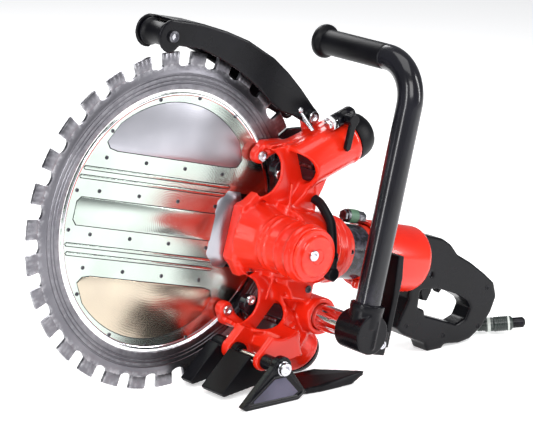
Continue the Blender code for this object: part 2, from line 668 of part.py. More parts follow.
def front_handle():
    """Bent tube with its grip, clamped to a shaft that it turns on."""
    ax, az = HANDLE_AXIS
    pivot = y_pivot(HANDLE_AXIS, HANDLE_Y)
    shaft = rod_y(HANDLE_AXIS, HANDLE_Y - 12, HANDLE_LUG_END + 30, HANDLE_SHAFT_RADIUS)
    part("handle_shaft", CHROME, shaft)

    def lean(z):
        return ax - (z - az) * math.tan(HANDLE_LEAN)

    low = az + HANDLE_SHAFT_RADIUS + 8
    points = [(lean(low), HANDLE_Y, low), (lean(60), HANDLE_Y, 60)]
    bend_z = GRIP_HEIGHT - BEND_RADIUS
    for i in range(9):
        turn = math.pi / 2 * i / 8
        z = bend_z + BEND_RADIUS * math.sin(turn)
        points.append((lean(z), HANDLE_Y + BEND_RADIUS * (1 - math.cos(turn)), z))
    top_x = lean(GRIP_HEIGHT)
    sleeve_start = HANDLE_Y + BEND_RADIUS + 1
    core = HANDLE_TUBE - 2.5
    radii = [HANDLE_TUBE] * len(points)
    points += [(top_x, sleeve_start, GRIP_HEIGHT), (top_x, sleeve_start + 0.5, GRIP_HEIGHT),
               (top_x, GRIP_END - 6, GRIP_HEIGHT)]
    radii += [HANDLE_TUBE, core, core]
    part("front_handle", BLACK_PAINT, swept(points, radii, 20), pivot=pivot)
    start = sleeve_start + 1
    profile = [(0, GRIP_END - 4), (core + GAP, GRIP_END - 4), (core + GAP, start), (HANDLE_TUBE, start),
               (HANDLE_TUBE, GRIP_END - 8), (18, GRIP_END - 6), (18, GRIP_END), (14, GRIP_END + 3),
               (0, GRIP_END + 3)]
    sleeve = turned(profile, (top_x, 0, GRIP_HEIGHT), (0, 1, 0), 20)
    part("front_grip", RUBBER, sleeve, pivot=pivot)
    block = rod_y(HANDLE_AXIS, HANDLE_Y - 16, HANDLE_Y + 20, HANDLE_SHAFT_RADIUS + 7)
    socket = rod((ax, HANDLE_Y, az), (-math.sin(HANDLE_LEAN), 0, math.cos(HANDLE_LEAN)), 6,
                 HANDLE_SHAFT_RADIUS + 16, HANDLE_TUBE + 4)
    seat = rod((ax, HANDLE_Y, az), (-math.sin(HANDLE_LEAN), 0, math.cos(HANDLE_LEAN)),
               HANDLE_SHAFT_RADIUS + 7.5, HANDLE_SHAFT_RADIUS + 30, HANDLE_TUBE + GAP)
    ear = box((ax + 10, HANDLE_Y - 14, az - 20.5), (ax + 26, HANDLE_Y + 14, az + 6))
    clamp = add(socket, ear) + cut(seat, rod_y(HANDLE_AXIS, HANDLE_Y - 13, 0, HANDLE_SHAFT_RADIUS + GAP))
    part("handle_clamp", BLACK, block, clamp, pivot)
    guard = [(ax + 27, az - 13), (ax + 35, az - 13), (ax + 33, az + 60), (ax + 28, az + 84), (ax + 20, az + 84),
             (ax + 26, az + 40)]
    part("leg_guard", RUBBER, prism(guard, HANDLE_Y - 8, HANDLE_Y + 16), pivot=pivot)


def blade_guard():
    """U-shaped guard over the blade, hinged on the upper arm, with a roller at its tip."""
    outer = []
    inner = []
    for angle, low, high in GUARD_STATIONS:
        turn = math.radians(angle)
        outer.append((high * math.cos(turn), high * math.sin(turn)))
        inner.append((low * math.cos(turn), low * math.sin(turn)))
    hinge_end = circle(GUARD_HINGE, 9.5, 10, 75, -120)
    tip = circle(GUARD_ROLLER, GUARD_ROLLER_RADIUS, 10, 285, 105)
    outline = outer + hinge_end + list(reversed(inner)) + tip
    channel = []
    for angle, low, high in GUARD_STATIONS:
        turn = math.radians(angle)
        reach = high - GUARD_WALL
        channel.append((reach * math.cos(turn), reach * math.sin(turn)))
    channel += [(172, 150), (172, 100), (100, 90), (0, 120), (-120, 120), (-120, 230), (-66, 230)]
    slot = prism(channel, -GUARD_HALF + GUARD_WALL, GUARD_HALF - GUARD_WALL)
    steps = cut(slot, rod_y(GUARD_HINGE, -30, 30, BOLT_RADIUS + GAP, SMALL),
                rod_y(GUARD_ROLLER, -30, 30, BOLT_RADIUS + GAP, SMALL))
    pivot = y_pivot(GUARD_HINGE)
    part("blade_guard", BLACK, prism(outline, -GUARD_HALF, GUARD_HALF), steps, pivot)
    half = GUARD_HALF - GUARD_WALL - RUN
    reach = GUARD_HALF + 2
    roller = [(0, -reach), (BOLT_RADIUS, -reach), (BOLT_RADIUS, -half), (14, -half), (14, -half + 4),
              (11, -half + 6), (11, half - 6), (14, half - 4), (14, half), (BOLT_RADIUS, half),
              (BOLT_RADIUS, reach), (0, reach)]
    centre = y_pivot(GUARD_ROLLER)
    part("guard_roller", RUBBER, turned(roller, centre, (0, 1, 0), 20), pivot=centre)
    part("guard_pin", STEEL, rod_y(GUARD_HINGE, -reach, reach, BOLT_RADIUS, SMALL))


def splash_flaps():
    """Three flaps on one bolt, and the fixed rubber skirt under the lower arm."""
    px, pz = FLAP_PIVOT
    hub = circle(FLAP_PIVOT, 12, 10, 180, 0)
    bore = [circle(FLAP_PIVOT, BOLT_RADIUS + GAP, SMALL)]
    outer = hub + [(px + 40, pz - 22), (px + 32, pz - 31), (FLAP_TIP_X + 3, ground(FLAP_TIP_X + 3)),
                   (FLAP_TIP_X - 3, ground(FLAP_TIP_X - 3) + 4)]
    pivot = y_pivot(FLAP_PIVOT)
    spacer = sleeve_y(FLAP_PIVOT, -105, LUG_FACES[1][0] - GAP, BOLT_RADIUS + GAP, 8, SMALL)
    part("splash_flap_outer", RUBBER, prism(outer, -112, -104, bore), add(spacer), pivot)
    lift = 4
    middle = [(px - 12, pz + 2), (px - 7, pz - 5), (px + 7, pz - 6), (px + 22, pz - 18), (px + 9, pz - 27),
              (FLAP_TIP_X + 4, ground(FLAP_TIP_X + 4) + lift), (FLAP_TIP_X, ground(FLAP_TIP_X) + lift + 4)]
    knuckle = circle(FLAP_PIVOT, 9, 16)
    ends = [("middle", (-74, -40), (-46, -38.6)), ("inner", (-24, -7), (-24, -7))]
    for name, faces, ear_faces in ends:
        ear = prism(knuckle, *ear_faces)
        bolt_hole = rod_y(FLAP_PIVOT, -90, 0, BOLT_RADIUS + GAP, SMALL)
        part(f"splash_flap_{name}", RUBBER, prism(middle, *faces), add(ear) + cut(bolt_hole), pivot)
    bolt = [(0, -118), (7, -118), (7, -112.4), (BOLT_RADIUS, -112.4), (BOLT_RADIUS, -4), (0, -4)]
    part("flap_bolt", STEEL, turned(bolt, pivot, (0, 1, 0), SMALL))
    skirt = []
    for x, y, lift_z in ((136, -103, 1.0), (165, -106, 0.4), (206, -106, 1.0), (221, -104, 8.0)):
        z = ground(x) + lift_z
        skirt += [(x, y, z), (x, y, z + 5)]
    for x, y in ((126, -62), (190, -62)):
        z = ground(x) + 4
        skirt += [(x, y, z), (x, y, z + 5)]
    part("splash_skirt", RUBBER, wedge(skirt))


def water_supply():
    """Valve with its lever on the upper arm, and the short water hose to the motor."""
    x, z = arm_point(0, VALVE_ACROSS, 1)
    base = (x, VALVE_Y, z)
    axis = arm_direction(1)
    valve = [(0, 200), (VALVE_RADIUS, 200), (VALVE_RADIUS, 224), (5, 227), (0, 227)]
    part("water_valve", BLACK, turned(valve, base, axis, SMALL * 2))
    nut = [(0, 190), (5, 190), (5, 193), (8.4, 193), (8.4, 199.6), (0, 199.6)]
    part("water_valve_nut", STEEL, turned(nut, base, axis, 6))
    hub = arm_point(VALVE_ALONG, VALVE_ACROSS, 1)
    face = VALVE_Y - VALVE_RADIUS - GAP
    lever = rod_y(hub, face - 11, face, 6.5, SMALL)
    bar = [(hub[0] - 4, hub[1]), (hub[0] + 4, hub[1]), (hub[0] + 3.5, hub[1] - 30), (hub[0], hub[1] - 33),
           (hub[0] - 3.5, hub[1] - 30)]
    part("water_lever", BLACK, lever, add(prism(bar, face - 11, face - 6.6)), y_pivot(hub))
    route = [(148, -49, 50), (149, -58, 47), (148, -70, 40), (147, -81, 32), (145, -89, 21), (144, -95, 8),
             (146, -97, -6)]
    points = curve_through(route, 4)
    part("water_hose", RUBBER, swept(points, [5.0] * len(points), 10))
    fitting = [(0, -102), (7, -102), (7, -92), (0, -92)]
    part("hose_elbow", BLACK, turned(fitting, (148.5, 0, -18.5), (0, 1, 0), SMALL))


def supply_hose():
    """Braided hose held along the tube and the rear handle, with its quick coupling."""
    route = [(250, TUBE_Y, -41.8), (262, -49, -49), (279, -39, -56), (295, -29.4, -61.5), (316, -28, -66),
             (342, -28, -71), (374, -28.3, -75), (408, -28, -75.5), (433, -31.5, -72), (447, -42, -67)]
    points = curve_through(route, 4)
    part("supply_hose", BRAID, swept(points, [HOSE_RADIUS] * len(points), 10))
    end = Vector(route[-1])
    direction = end - points[-2]
    body_profile = [(0, GAP), (7, GAP), (7, 8), (COUPLING_RADIUS, 9), (COUPLING_RADIUS, 18), (0, 18)]
    part("hose_coupling", STEEL, turned(body_profile, end, direction, 12))
    collar = [(0, 18 + GAP), (COUPLING_RADIUS + 0.6, 18 + GAP), (COUPLING_RADIUS + 0.6, 38), (6, 40), (6, 52),
              (3, 54), (0, 54)]
    part("coupling_sleeve", STEEL, turned(collar, end, direction, 16))
    clip = [(372, -66), (378, -66), (378, -84), (372, -84)]
    part("hose_clip", BLACK, prism(clip, TUBE_Y + HANDLE_HALF + GAP, -14),
         cut(swept([Vector(p) for p in points], [HOSE_RADIUS + GAP] * len(points), 12)))


def stand(machine):
    """Tilt the machine to rest and put the middle of its footprint at the origin."""
    machine.rotation_euler = (0, REST_TILT, 0)
    bpy.context.view_layer.update()
    corners = [obj.matrix_world @ vert.co for obj in bpy.data.objects if obj.type == "MESH"
               for vert in obj.data.vertices]
    for axis in (0, 1):
        values = [corner[axis] for corner in corners]
        machine.location[axis] = -(min(values) + max(values)) / 2
    machine.location.z = -min(corner.z for corner in corners)


def main():
    for obj in list(bpy.data.objects):
        bpy.data.objects.remove(obj)
    ring_blade()
    drive_train()
    cover_casting()
    covers()
    roller_arm(1, "upper")
    roller_arm(-1, "lower")
    back_plate()
    valve_tube()
    rear_handle()
    front_handle()
    blade_guard()
    splash_flaps()
    water_supply()
    supply_hose()
    machine = bpy.data.objects.new("machine", None)
    bpy.context.scene.collection.objects.link(machine)
    for obj in list(bpy.data.objects):
        if obj.type == "MESH":
            obj.parent = machine
    stand(machine)


main()
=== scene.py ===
"""Looks of a hydraulic ring saw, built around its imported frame."""

import json
import logging
import math
from dataclasses import dataclass
from enum import Enum
from typing import Callable, Iterable, Sequence

import bmesh
import bpy
from mathutils import Matrix, Vector


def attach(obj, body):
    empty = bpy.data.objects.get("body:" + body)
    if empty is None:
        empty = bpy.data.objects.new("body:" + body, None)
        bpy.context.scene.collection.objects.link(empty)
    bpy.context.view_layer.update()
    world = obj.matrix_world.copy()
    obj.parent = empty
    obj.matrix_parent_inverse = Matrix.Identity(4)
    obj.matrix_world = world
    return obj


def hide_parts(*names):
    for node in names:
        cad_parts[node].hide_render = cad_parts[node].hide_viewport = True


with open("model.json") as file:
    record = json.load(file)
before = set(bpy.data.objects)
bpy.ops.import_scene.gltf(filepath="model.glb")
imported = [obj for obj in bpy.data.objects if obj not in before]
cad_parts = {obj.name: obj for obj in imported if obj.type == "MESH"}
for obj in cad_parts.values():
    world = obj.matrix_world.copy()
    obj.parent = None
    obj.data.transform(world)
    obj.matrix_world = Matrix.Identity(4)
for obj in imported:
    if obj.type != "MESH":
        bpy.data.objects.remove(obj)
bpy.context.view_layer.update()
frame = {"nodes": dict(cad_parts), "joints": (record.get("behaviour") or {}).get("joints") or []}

LOG = logging.getLogger("ring_saw")
MM = 0.001
FLOOR_REACH = 30.0
SENSOR_WIDTH = 36.0
LAMP_AIM = Vector((0, 0, 0.18))
GRAIN_DEPTH = 0.0004
EDGE_ANGLE = math.radians(35)
WELD = 1e-6
Point = Sequence[float]
Colour = tuple[float, float, float]


# ---------------------------------------------------------------- machine frame
@dataclass(frozen=True)
class MachineFrame:
    """The saw's own axes: millimetres from the ring's centre, +X rearward, +Y away, +Z up."""

    matrix: Matrix

    @classmethod
    def from_joints(cls) -> "MachineFrame":
        """Reads the ring's centre and the saw's tilt from the joints.

        Returns:
            The frame of the saw at rest.
        """
        joints = {joint["name"]: joint for joint in frame["joints"]}
        centre = Vector(joints["blade_spin"]["pos_m"])
        forward = -Vector(joints["spool_slide"]["axis"])
        tilt = math.atan2(-forward.z, forward.x)
        turn = Matrix.Rotation(tilt, 4, "Y")
        return cls(Matrix.Translation(centre) @ turn @ Matrix.Scale(MM, 4))

    def point(self, place: Point) -> Vector:
        """Gives a machine place in world metres."""
        return self.matrix @ Vector(place)

    def direction(self, way: Point) -> Vector:
        """Gives a machine direction as a world unit vector."""
        return (self.matrix.to_3x3() @ Vector(way)).normalized()


MACHINE = MachineFrame.from_joints()
ARM_ANGLE = math.radians(31.5)


def arm_point(along: float, across: float, side: int) -> tuple[float, float]:
    """Finds a place on a roller arm.

    Args:
        along: distance from the ring's centre along the arm.
        across: distance to the arm's outer side.
        side: 1 for the upper arm, -1 for the lower one.

    Returns:
        Machine X and Z.
    """
    x = along * math.cos(ARM_ANGLE) - across * math.sin(ARM_ANGLE)
    z = along * math.sin(ARM_ANGLE) + across * math.cos(ARM_ANGLE)
    return x, side * z


def arm_direction(side: int) -> Vector:
    """Gives the direction of a roller arm."""
    return Vector((math.cos(ARM_ANGLE), 0, side * math.sin(ARM_ANGLE)))


# ---------------------------------------------------------------- node groups
class Sockets(Enum):
    """Kinds of group sockets."""

    COLOUR = "NodeSocketColor"
    VALUE = "NodeSocketFloat"
    VECTOR = "NodeSocketVector"
    GEOMETRY = "NodeSocketGeometry"
    MATERIAL = "NodeSocketMaterial"
    OBJECT = "NodeSocketObject"


def new_group(
    name: str,
    kind: str,
    inputs: Iterable[tuple[str, Sockets]],
    outputs: Iterable[tuple[str, Sockets]],
) -> tuple[bpy.types.NodeTree, bpy.types.Node, bpy.types.Node]:
    """Makes a node group with named sockets.

    Args:
        name: name of the group.
        kind: the node tree's type.
        inputs: names and kinds of the inputs.
        outputs: names and kinds of the outputs.

    Returns:
        The tree, its input node and its output node.
    """
    tree = bpy.data.node_groups.new(name, kind)
    for label, socket in inputs:
        tree.interface.new_socket(label, in_out="INPUT", socket_type=socket.value)
    for label, socket in outputs:
        tree.interface.new_socket(label, in_out="OUTPUT", socket_type=socket.value)
    return tree, tree.nodes.new("NodeGroupInput"), tree.nodes.new("NodeGroupOutput")


def mix_colour(nodes: bpy.types.Nodes, blend: str = "MIX") -> bpy.types.Node:
    """Makes a colour mix node: factor is input 0, colours are inputs 6 and 7, result is output 2.

    Args:
        nodes: the tree's nodes.
        blend: the blend type.

    Returns:
        The new node.
    """
    node = nodes.new("ShaderNodeMix")
    node.data_type = "RGBA"
    node.blend_type = blend
    return node


def remap(
    nodes: bpy.types.Nodes,
    links: bpy.types.NodeLinks,
    source: bpy.types.NodeSocket,
    low: float,
    high: float,
) -> bpy.types.NodeSocket:
    """Maps low..high to 0..1 and clamps it.

    Args:
        nodes: the tree's nodes.
        links: the tree's links.
        source: the value to map.
        low: the value that gives 0.
        high: the value that gives 1.

    Returns:
        The mapped value's socket.
    """
    node = nodes.new("ShaderNodeMapRange")
    node.inputs["From Min"].default_value = low
    node.inputs["From Max"].default_value = high
    links.new(source, node.inputs["Value"])
    return node.outputs["Result"]


def grain_group() -> bpy.types.NodeTree:
    """Builds the surface grain: mottled colour, uneven roughness and a fine height.

    Returns:
        The shader group.
    """
    tree, source, sink = new_group(
        "SurfaceGrain",
        "ShaderNodeTree",
        (("Base", Sockets.COLOUR), ("Shade", Sockets.COLOUR), ("Scale", Sockets.VALUE),
         ("Stretch", Sockets.VECTOR), ("Roughness", Sockets.VALUE), ("Spread", Sockets.VALUE)),
        (("Color", Sockets.COLOUR), ("Roughness", Sockets.VALUE), ("Height", Sockets.VALUE)),
    )
    nodes, links = tree.nodes, tree.links
    place = nodes.new("ShaderNodeTexCoord")
    stretch = nodes.new("ShaderNodeVectorMath")
    stretch.operation = "MULTIPLY"
    links.new(place.outputs["Object"], stretch.inputs[0])
    links.new(source.outputs["Stretch"], stretch.inputs[1])
    fine = nodes.new("ShaderNodeTexNoise")
    fine.inputs["Detail"].default_value = 4.0
    links.new(stretch.outputs[0], fine.inputs["Vector"])
    links.new(source.outputs["Scale"], fine.inputs["Scale"])
    broad = nodes.new("ShaderNodeTexNoise")
    broad.inputs["Scale"].default_value = 18.0
    broad.inputs["Detail"].default_value = 3.0
    links.new(place.outputs["Object"], broad.inputs["Vector"])
    mottle = mix_colour(nodes)
    links.new(remap(nodes, links, broad.outputs["Fac"], 0.35, 0.68), mottle.inputs[0])
    links.new(source.outputs["Base"], mottle.inputs[6])
    links.new(source.outputs["Shade"], mottle.inputs[7])
    offset = nodes.new("ShaderNodeMath")
    offset.operation = "SUBTRACT"
    offset.inputs[1].default_value = 0.5
    links.new(broad.outputs["Fac"], offset.inputs[0])
    uneven = nodes.new("ShaderNodeMath")
    uneven.operation = "MULTIPLY_ADD"
    links.new(offset.outputs[0], uneven.inputs[0])
    links.new(source.outputs["Spread"], uneven.inputs[1])
    links.new(source.outputs["Roughness"], uneven.inputs[2])
    links.new(mottle.outputs[2], sink.inputs["Color"])
    links.new(uneven.outputs[0], sink.inputs["Roughness"])
    links.new(fine.outputs["Fac"], sink.inputs["Height"])
    return tree


def wear_group() -> bpy.types.NodeTree:
    """Builds the edge wear: a worn colour on convex edges, broken up by noise.

    Returns:
        The shader group.
    """
    tree, source, sink = new_group(
        "EdgeWear",
        "ShaderNodeTree",
        (("Color", Sockets.COLOUR), ("Worn", Sockets.COLOUR), ("Amount", Sockets.VALUE)),
        (("Color", Sockets.COLOUR), ("Mask", Sockets.VALUE)),
    )
    nodes, links = tree.nodes, tree.links
    shape = nodes.new("ShaderNodeNewGeometry")
    place = nodes.new("ShaderNodeTexCoord")
    patches = nodes.new("ShaderNodeTexNoise")
    patches.inputs["Scale"].default_value = 160.0
    patches.inputs["Detail"].default_value = 5.0
    links.new(place.outputs["Object"], patches.inputs["Vector"])
    edge = remap(nodes, links, shape.outputs["Pointiness"], 0.53, 0.62)
    broken = remap(nodes, links, patches.outputs["Fac"], 0.42, 0.62)
    both = nodes.new("ShaderNodeMath")
    both.operation = "MULTIPLY"
    links.new(edge, both.inputs[0])
    links.new(broken, both.inputs[1])
    scaled = nodes.new("ShaderNodeMath")
    scaled.operation = "MULTIPLY"
    scaled.use_clamp = True
    links.new(both.outputs[0], scaled.inputs[0])
    links.new(source.outputs["Amount"], scaled.inputs[1])
    worn = mix_colour(nodes)
    links.new(scaled.outputs[0], worn.inputs[0])
    links.new(source.outputs["Color"], worn.inputs[6])
    links.new(source.outputs["Worn"], worn.inputs[7])
    links.new(worn.outputs[2], sink.inputs["Color"])
    links.new(scaled.outputs[0], sink.inputs["Mask"])
    return tree


def turning_group() -> bpy.types.NodeTree:
    """Builds fine rings about the ring's axis, as a lathe or a grinder leaves.

    Returns:
        The shader group.
    """
    tree, source, sink = new_group(
        "TurnedRings",
        "ShaderNodeTree",
        (("Scale", Sockets.VALUE), ("Distortion", Sockets.VALUE)),
        (("Height", Sockets.VALUE),),
    )
    nodes, links = tree.nodes, tree.links
    place = nodes.new("ShaderNodeTexCoord")
    centred = nodes.new("ShaderNodeMapping")
    centred.inputs["Location"].default_value = -MACHINE.point((0, 0, 0))
    links.new(place.outputs["Object"], centred.inputs["Vector"])
    rings = nodes.new("ShaderNodeTexWave")
    rings.wave_type = "RINGS"
    rings.rings_direction = "Y"
    rings.inputs["Detail"].default_value = 3.0
    links.new(centred.outputs[0], rings.inputs["Vector"])
    links.new(source.outputs["Scale"], rings.inputs["Scale"])
    links.new(source.outputs["Distortion"], rings.inputs["Distortion"])
    links.new(rings.outputs["Fac"], sink.inputs["Height"])
    return tree


# ---------------------------------------------------------------- finishes
@dataclass(frozen=True)
class Finish:
    """A surface finish of the saw."""

    name: str
    slot: str
    colour: Colour
    shade: Colour
    worn: Colour
    roughness: float
    spread: float = 0.08
    metallic: float = 0.0
    coat: float = 0.0
    scale: float = 900.0
    stretch: tuple[float, float, float] = (1.0, 1.0, 1.0)
    bump: float = 0.05
    wear: float = 0.0
    rings: float = 0.0
    specular: float = 0.5


RED_ENAMEL = Finish("red_enamel", "red_paint", (0.78, 0.022, 0.006), (0.66, 0.014, 0.004),
                    (0.90, 0.14, 0.07), 0.26, 0.05, coat=0.30, scale=420.0, bump=0.08, wear=0.45,
                    specular=0.30)
GLOSS_BLACK = Finish("gloss_black", "black_paint", (0.006, 0.006, 0.008), (0.010, 0.010, 0.014),
                     (0.10, 0.09, 0.13), 0.20, 0.06, coat=0.25, scale=700.0, bump=0.06, wear=0.5,
                     specular=0.3)
MOULDED_BLACK = Finish("moulded_black", "black_plastic", (0.002, 0.002, 0.003), (0.004, 0.004, 0.006),
                       (0.05, 0.045, 0.07), 0.27, 0.08, scale=1400.0, bump=0.08, wear=0.5, specular=0.18)
SOFT_BLACK = Finish("soft_black", "black_rubber", (0.002, 0.002, 0.003), (0.005, 0.005, 0.007),
                    (0.05, 0.05, 0.06), 0.40, 0.10, scale=1100.0, bump=0.12, wear=0.5, specular=0.14)
# Pale lavender grey on the black flap's face: a painted sheen, the light on its flat face.
FLAP_SHEEN = Finish("flap_painted_sheen", "black_rubber", (0.085, 0.080, 0.125), (0.030, 0.028, 0.045),
                   (0.32, 0.31, 0.38), 0.42, 0.15, scale=700.0, bump=0.45, specular=0.3)
BRIGHT_STEEL = Finish("bright_steel", "bright_steel", (0.66, 0.66, 0.68), (0.52, 0.52, 0.56),
                      (0.85, 0.85, 0.87), 0.20, 0.10, metallic=1.0, scale=1500.0,
                      stretch=(1.0, 0.2, 1.0), bump=0.06, wear=0.5)
DARK_STEEL = Finish("dark_steel", "bright_steel", (0.07, 0.07, 0.08), (0.04, 0.04, 0.05),
                    (0.45, 0.45, 0.48), 0.34, 0.10, metallic=1.0, scale=1200.0, bump=0.08, wear=0.6)
POLISHED_CHROME = Finish("polished_chrome", "chrome", (0.83, 0.83, 0.86), (0.74, 0.74, 0.78),
                         (0.95, 0.95, 0.95), 0.08, 0.05, metallic=1.0, scale=1800.0,
                         stretch=(1.0, 0.15, 1.0), bump=0.03)
RING_STEEL = Finish("ground_ring_steel", "blade_steel", (0.21, 0.205, 0.225), (0.13, 0.128, 0.145),
                    (0.70, 0.70, 0.73), 0.34, 0.14, metallic=1.0, scale=900.0, bump=0.10, wear=0.7,
                    rings=260.0)
SEGMENT_STEEL = Finish("diamond_segment", "blade_steel", (0.12, 0.12, 0.14), (0.055, 0.055, 0.07),
                       (0.45, 0.45, 0.48), 0.42, 0.15, metallic=0.8, scale=1600.0, bump=0.55, wear=0.6)
# Near-black steel for the ring's grooves and the bands round the disc's pressed shapes: painted shade in
# these recesses.
GROOVE_SHADE = Finish("groove_painted_shade", "blade_steel", (0.035, 0.035, 0.042), (0.02, 0.02, 0.025),
                     (0.2, 0.2, 0.22), 0.45, 0.10, metallic=0.9, scale=900.0, bump=0.05)
DISC_GREY = Finish("disc_grey", "polished_disc", (0.44, 0.44, 0.48), (0.38, 0.38, 0.42),
                   (0.8, 0.8, 0.8), 0.30, 0.06, metallic=1.0, scale=1100.0, bump=0.05, rings=120.0)
DISC_SAGE = Finish("disc_sage", "polished_disc", (0.56, 0.63, 0.58), (0.48, 0.55, 0.50),
                   (0.8, 0.8, 0.8), 0.20, 0.06, metallic=1.0, scale=1100.0, bump=0.05, rings=120.0)
DISC_BEIGE = Finish("disc_beige", "polished_disc", (0.58, 0.51, 0.40), (0.52, 0.45, 0.36),
                    (0.8, 0.8, 0.8), 0.22, 0.06, metallic=1.0, scale=1100.0, bump=0.05, rings=120.0)
COUPLING_DARK = Finish("coupling_dark", "black_paint", (0.020, 0.030, 0.026), (0.012, 0.018, 0.016),
                       (0.25, 0.27, 0.26), 0.28, 0.10, scale=900.0, bump=0.06, wear=0.6)
BRAID_PALE = Finish("braid_pale", "braided_hose", (0.62, 0.66, 0.62), (0.46, 0.50, 0.46),
                    (0.8, 0.8, 0.8), 0.45, 0.12, scale=1800.0, bump=0.25)
BRAID_GREEN = Finish("braid_green", "braided_hose", (0.10, 0.22, 0.13), (0.06, 0.14, 0.09),
                     (0.3, 0.4, 0.3), 0.45, 0.12, scale=1800.0, bump=0.25)


class Palette:
    """Builds each finish's material once."""

    def __init__(self) -> None:
        """Builds the shared shader groups."""
        self.grain = grain_group()
        self.wear = wear_group()
        self.turning = turning_group()
        self.made: dict[str, bpy.types.Material] = {}

    def material(self, finish: Finish) -> bpy.types.Material:
        """Gives the material of a finish.

        Args:
            finish: the finish wanted.

        Returns:
            The material, built on first use.
        """
        if finish.name not in self.made:
            self.made[finish.name] = self._build(finish)
        return self.made[finish.name]

    def _build(self, finish: Finish) -> bpy.types.Material:
        """Builds the node tree of a finish.

        Args:
            finish: the finish wanted.

        Returns:
            A new material.
        """
        material = bpy.data.materials.new(finish.name)
        material.use_nodes = True
        nodes, links = material.node_tree.nodes, material.node_tree.links
        shader = nodes["Principled BSDF"]
        shader.inputs["Metallic"].default_value = finish.metallic
        shader.inputs["Coat Weight"].default_value = finish.coat
        shader.inputs["Coat Roughness"].default_value = 0.06
        shader.inputs["Specular IOR Level"].default_value = finish.specular
        grain = nodes.new("ShaderNodeGroup")
        grain.node_tree = self.grain
        grain.inputs["Base"].default_value = (*finish.colour, 1)
        grain.inputs["Shade"].default_value = (*finish.shade, 1)
        grain.inputs["Scale"].default_value = finish.scale
        grain.inputs["Stretch"].default_value = finish.stretch
        grain.inputs["Roughness"].default_value = finish.roughness
        grain.inputs["Spread"].default_value = finish.spread
        wear = nodes.new("ShaderNodeGroup")
        wear.node_tree = self.wear
        wear.inputs["Worn"].default_value = (*finish.worn, 1)
        wear.inputs["Amount"].default_value = finish.wear
        links.new(grain.outputs["Color"], wear.inputs["Color"])
        links.new(wear.outputs["Color"], shader.inputs["Base Color"])
        links.new(grain.outputs["Roughness"], shader.inputs["Roughness"])
        bump = nodes.new("ShaderNodeBump")
        bump.inputs["Strength"].default_value = finish.bump
        bump.inputs["Distance"].default_value = GRAIN_DEPTH
        height = grain.outputs["Height"]
        if finish.rings:
            rings = nodes.new("ShaderNodeGroup")
            rings.node_tree = self.turning
            rings.inputs["Scale"].default_value = finish.rings
            rings.inputs["Distortion"].default_value = 1.5
            both = nodes.new("ShaderNodeMath")
            both.operation = "ADD"
            links.new(height, both.inputs[0])
            links.new(rings.outputs["Height"], both.inputs[1])
            height = both.outputs[0]
        links.new(height, bump.inputs["Height"])
        links.new(bump.outputs["Normal"], shader.inputs["Normal"])
        return material


PALETTE = Palette()


# ---------------------------------------------------------------- mesh code, in machine millimetres
def ring_points(centre: Vector, axis: Vector, radius: float, steps: int, start: float = 0.0) -> list[Vector]:
    """Places points on a circle.

    Args:
        centre: the circle's centre.
        axis: its normal.
        radius: its radius.
        steps: how many points.
        start: angle of the first point.

    Returns:
        The points, in order about the axis.
    """
    axis = axis.normalized()
    side = axis.cross(Vector((0, 1, 0))) if abs(axis.y) < 0.9 else axis.cross(Vector((1, 0, 0)))
    side.normalize()
    up = axis.cross(side)
    return [centre + (side * math.cos(start + 2 * math.pi * i / steps)
                      + up * math.sin(start + 2 * math.pi * i / steps)) * radius for i in range(steps)]


def loft(
    bm: bmesh.types.BMesh, rings: Sequence[Sequence[Vector]], closed: bool = False, index: int = 0
) -> None:
    """Skins rings of equal size into a closed shell.

    Args:
        bm: the mesh to add to.
        rings: rings of points in order.
        closed: whether the last ring joins the first.
        index: material index.
    """
    made = [[bm.verts.new(p) for p in ring] for ring in rings]
    count = len(made[0])
    pairs = list(zip(made, made[1:])) + ([(made[-1], made[0])] if closed else [])
    faces = []
    for one, two in pairs:
        for i in range(count):
            j = (i + 1) % count
            faces.append(bm.faces.new((one[i], one[j], two[j], two[i])))
    if not closed:
        faces.append(bm.faces.new(list(reversed(made[0]))))
        faces.append(bm.faces.new(made[-1]))
    for face in faces:
        face.material_index = index


def lathe(
    bm: bmesh.types.BMesh,
    profile: Sequence[tuple[float, float]],
    base: Point,
    axis: Point,
    steps: int = 48,
    index: int = 0,
) -> None:
    """Turns a profile about an axis. The ends are closed with flat caps.

    Args:
        bm: the mesh to add to.
        profile: radius and distance along the axis, in order.
        base: origin of the distances.
        axis: direction of the axis.
        steps: facets about the axis.
        index: material index.
    """
    direction = Vector(axis).normalized()
    rings = [ring_points(Vector(base) + direction * along, direction, max(radius, 0.05), steps)
             for radius, along in profile]
    loft(bm, rings, index=index)


def lathe_ring(
    bm: bmesh.types.BMesh,
    profile: Sequence[tuple[float, float]],
    base: Point,
    axis: Point,
    steps: int = 48,
    index: int = 0,
) -> None:
    """Turns a closed profile about an axis into a ring.

    Args:
        bm: the mesh to add to.
        profile: radius and distance along the axis, in order.
        base: origin of the distances.
        axis: direction of the axis.
        steps: facets about the axis.
        index: material index.
    """
    direction = Vector(axis).normalized()
    rings = [ring_points(Vector(base) + direction * along, direction, radius, steps)
             for radius, along in profile]
    loft(bm, rings, closed=True, index=index)


def tube(
    bm: bmesh.types.BMesh, points: Sequence[Vector], radii: Sequence[float], sides: int = 24, index: int = 0
) -> None:
    """Sweeps a circle along points without twist.

    Args:
        bm: the mesh to add to.
        points: the path.
        radii: radius at each point.
        sides: facets around.
        index: material index.
    """
    rings = []
    for (centre, side, up), radius in zip(path_frames(points), radii):
        rings.append([centre + (side * math.cos(2 * math.pi * i / sides)
                                + up * math.sin(2 * math.pi * i / sides)) * radius for i in range(sides)])
    loft(bm, rings, index=index)


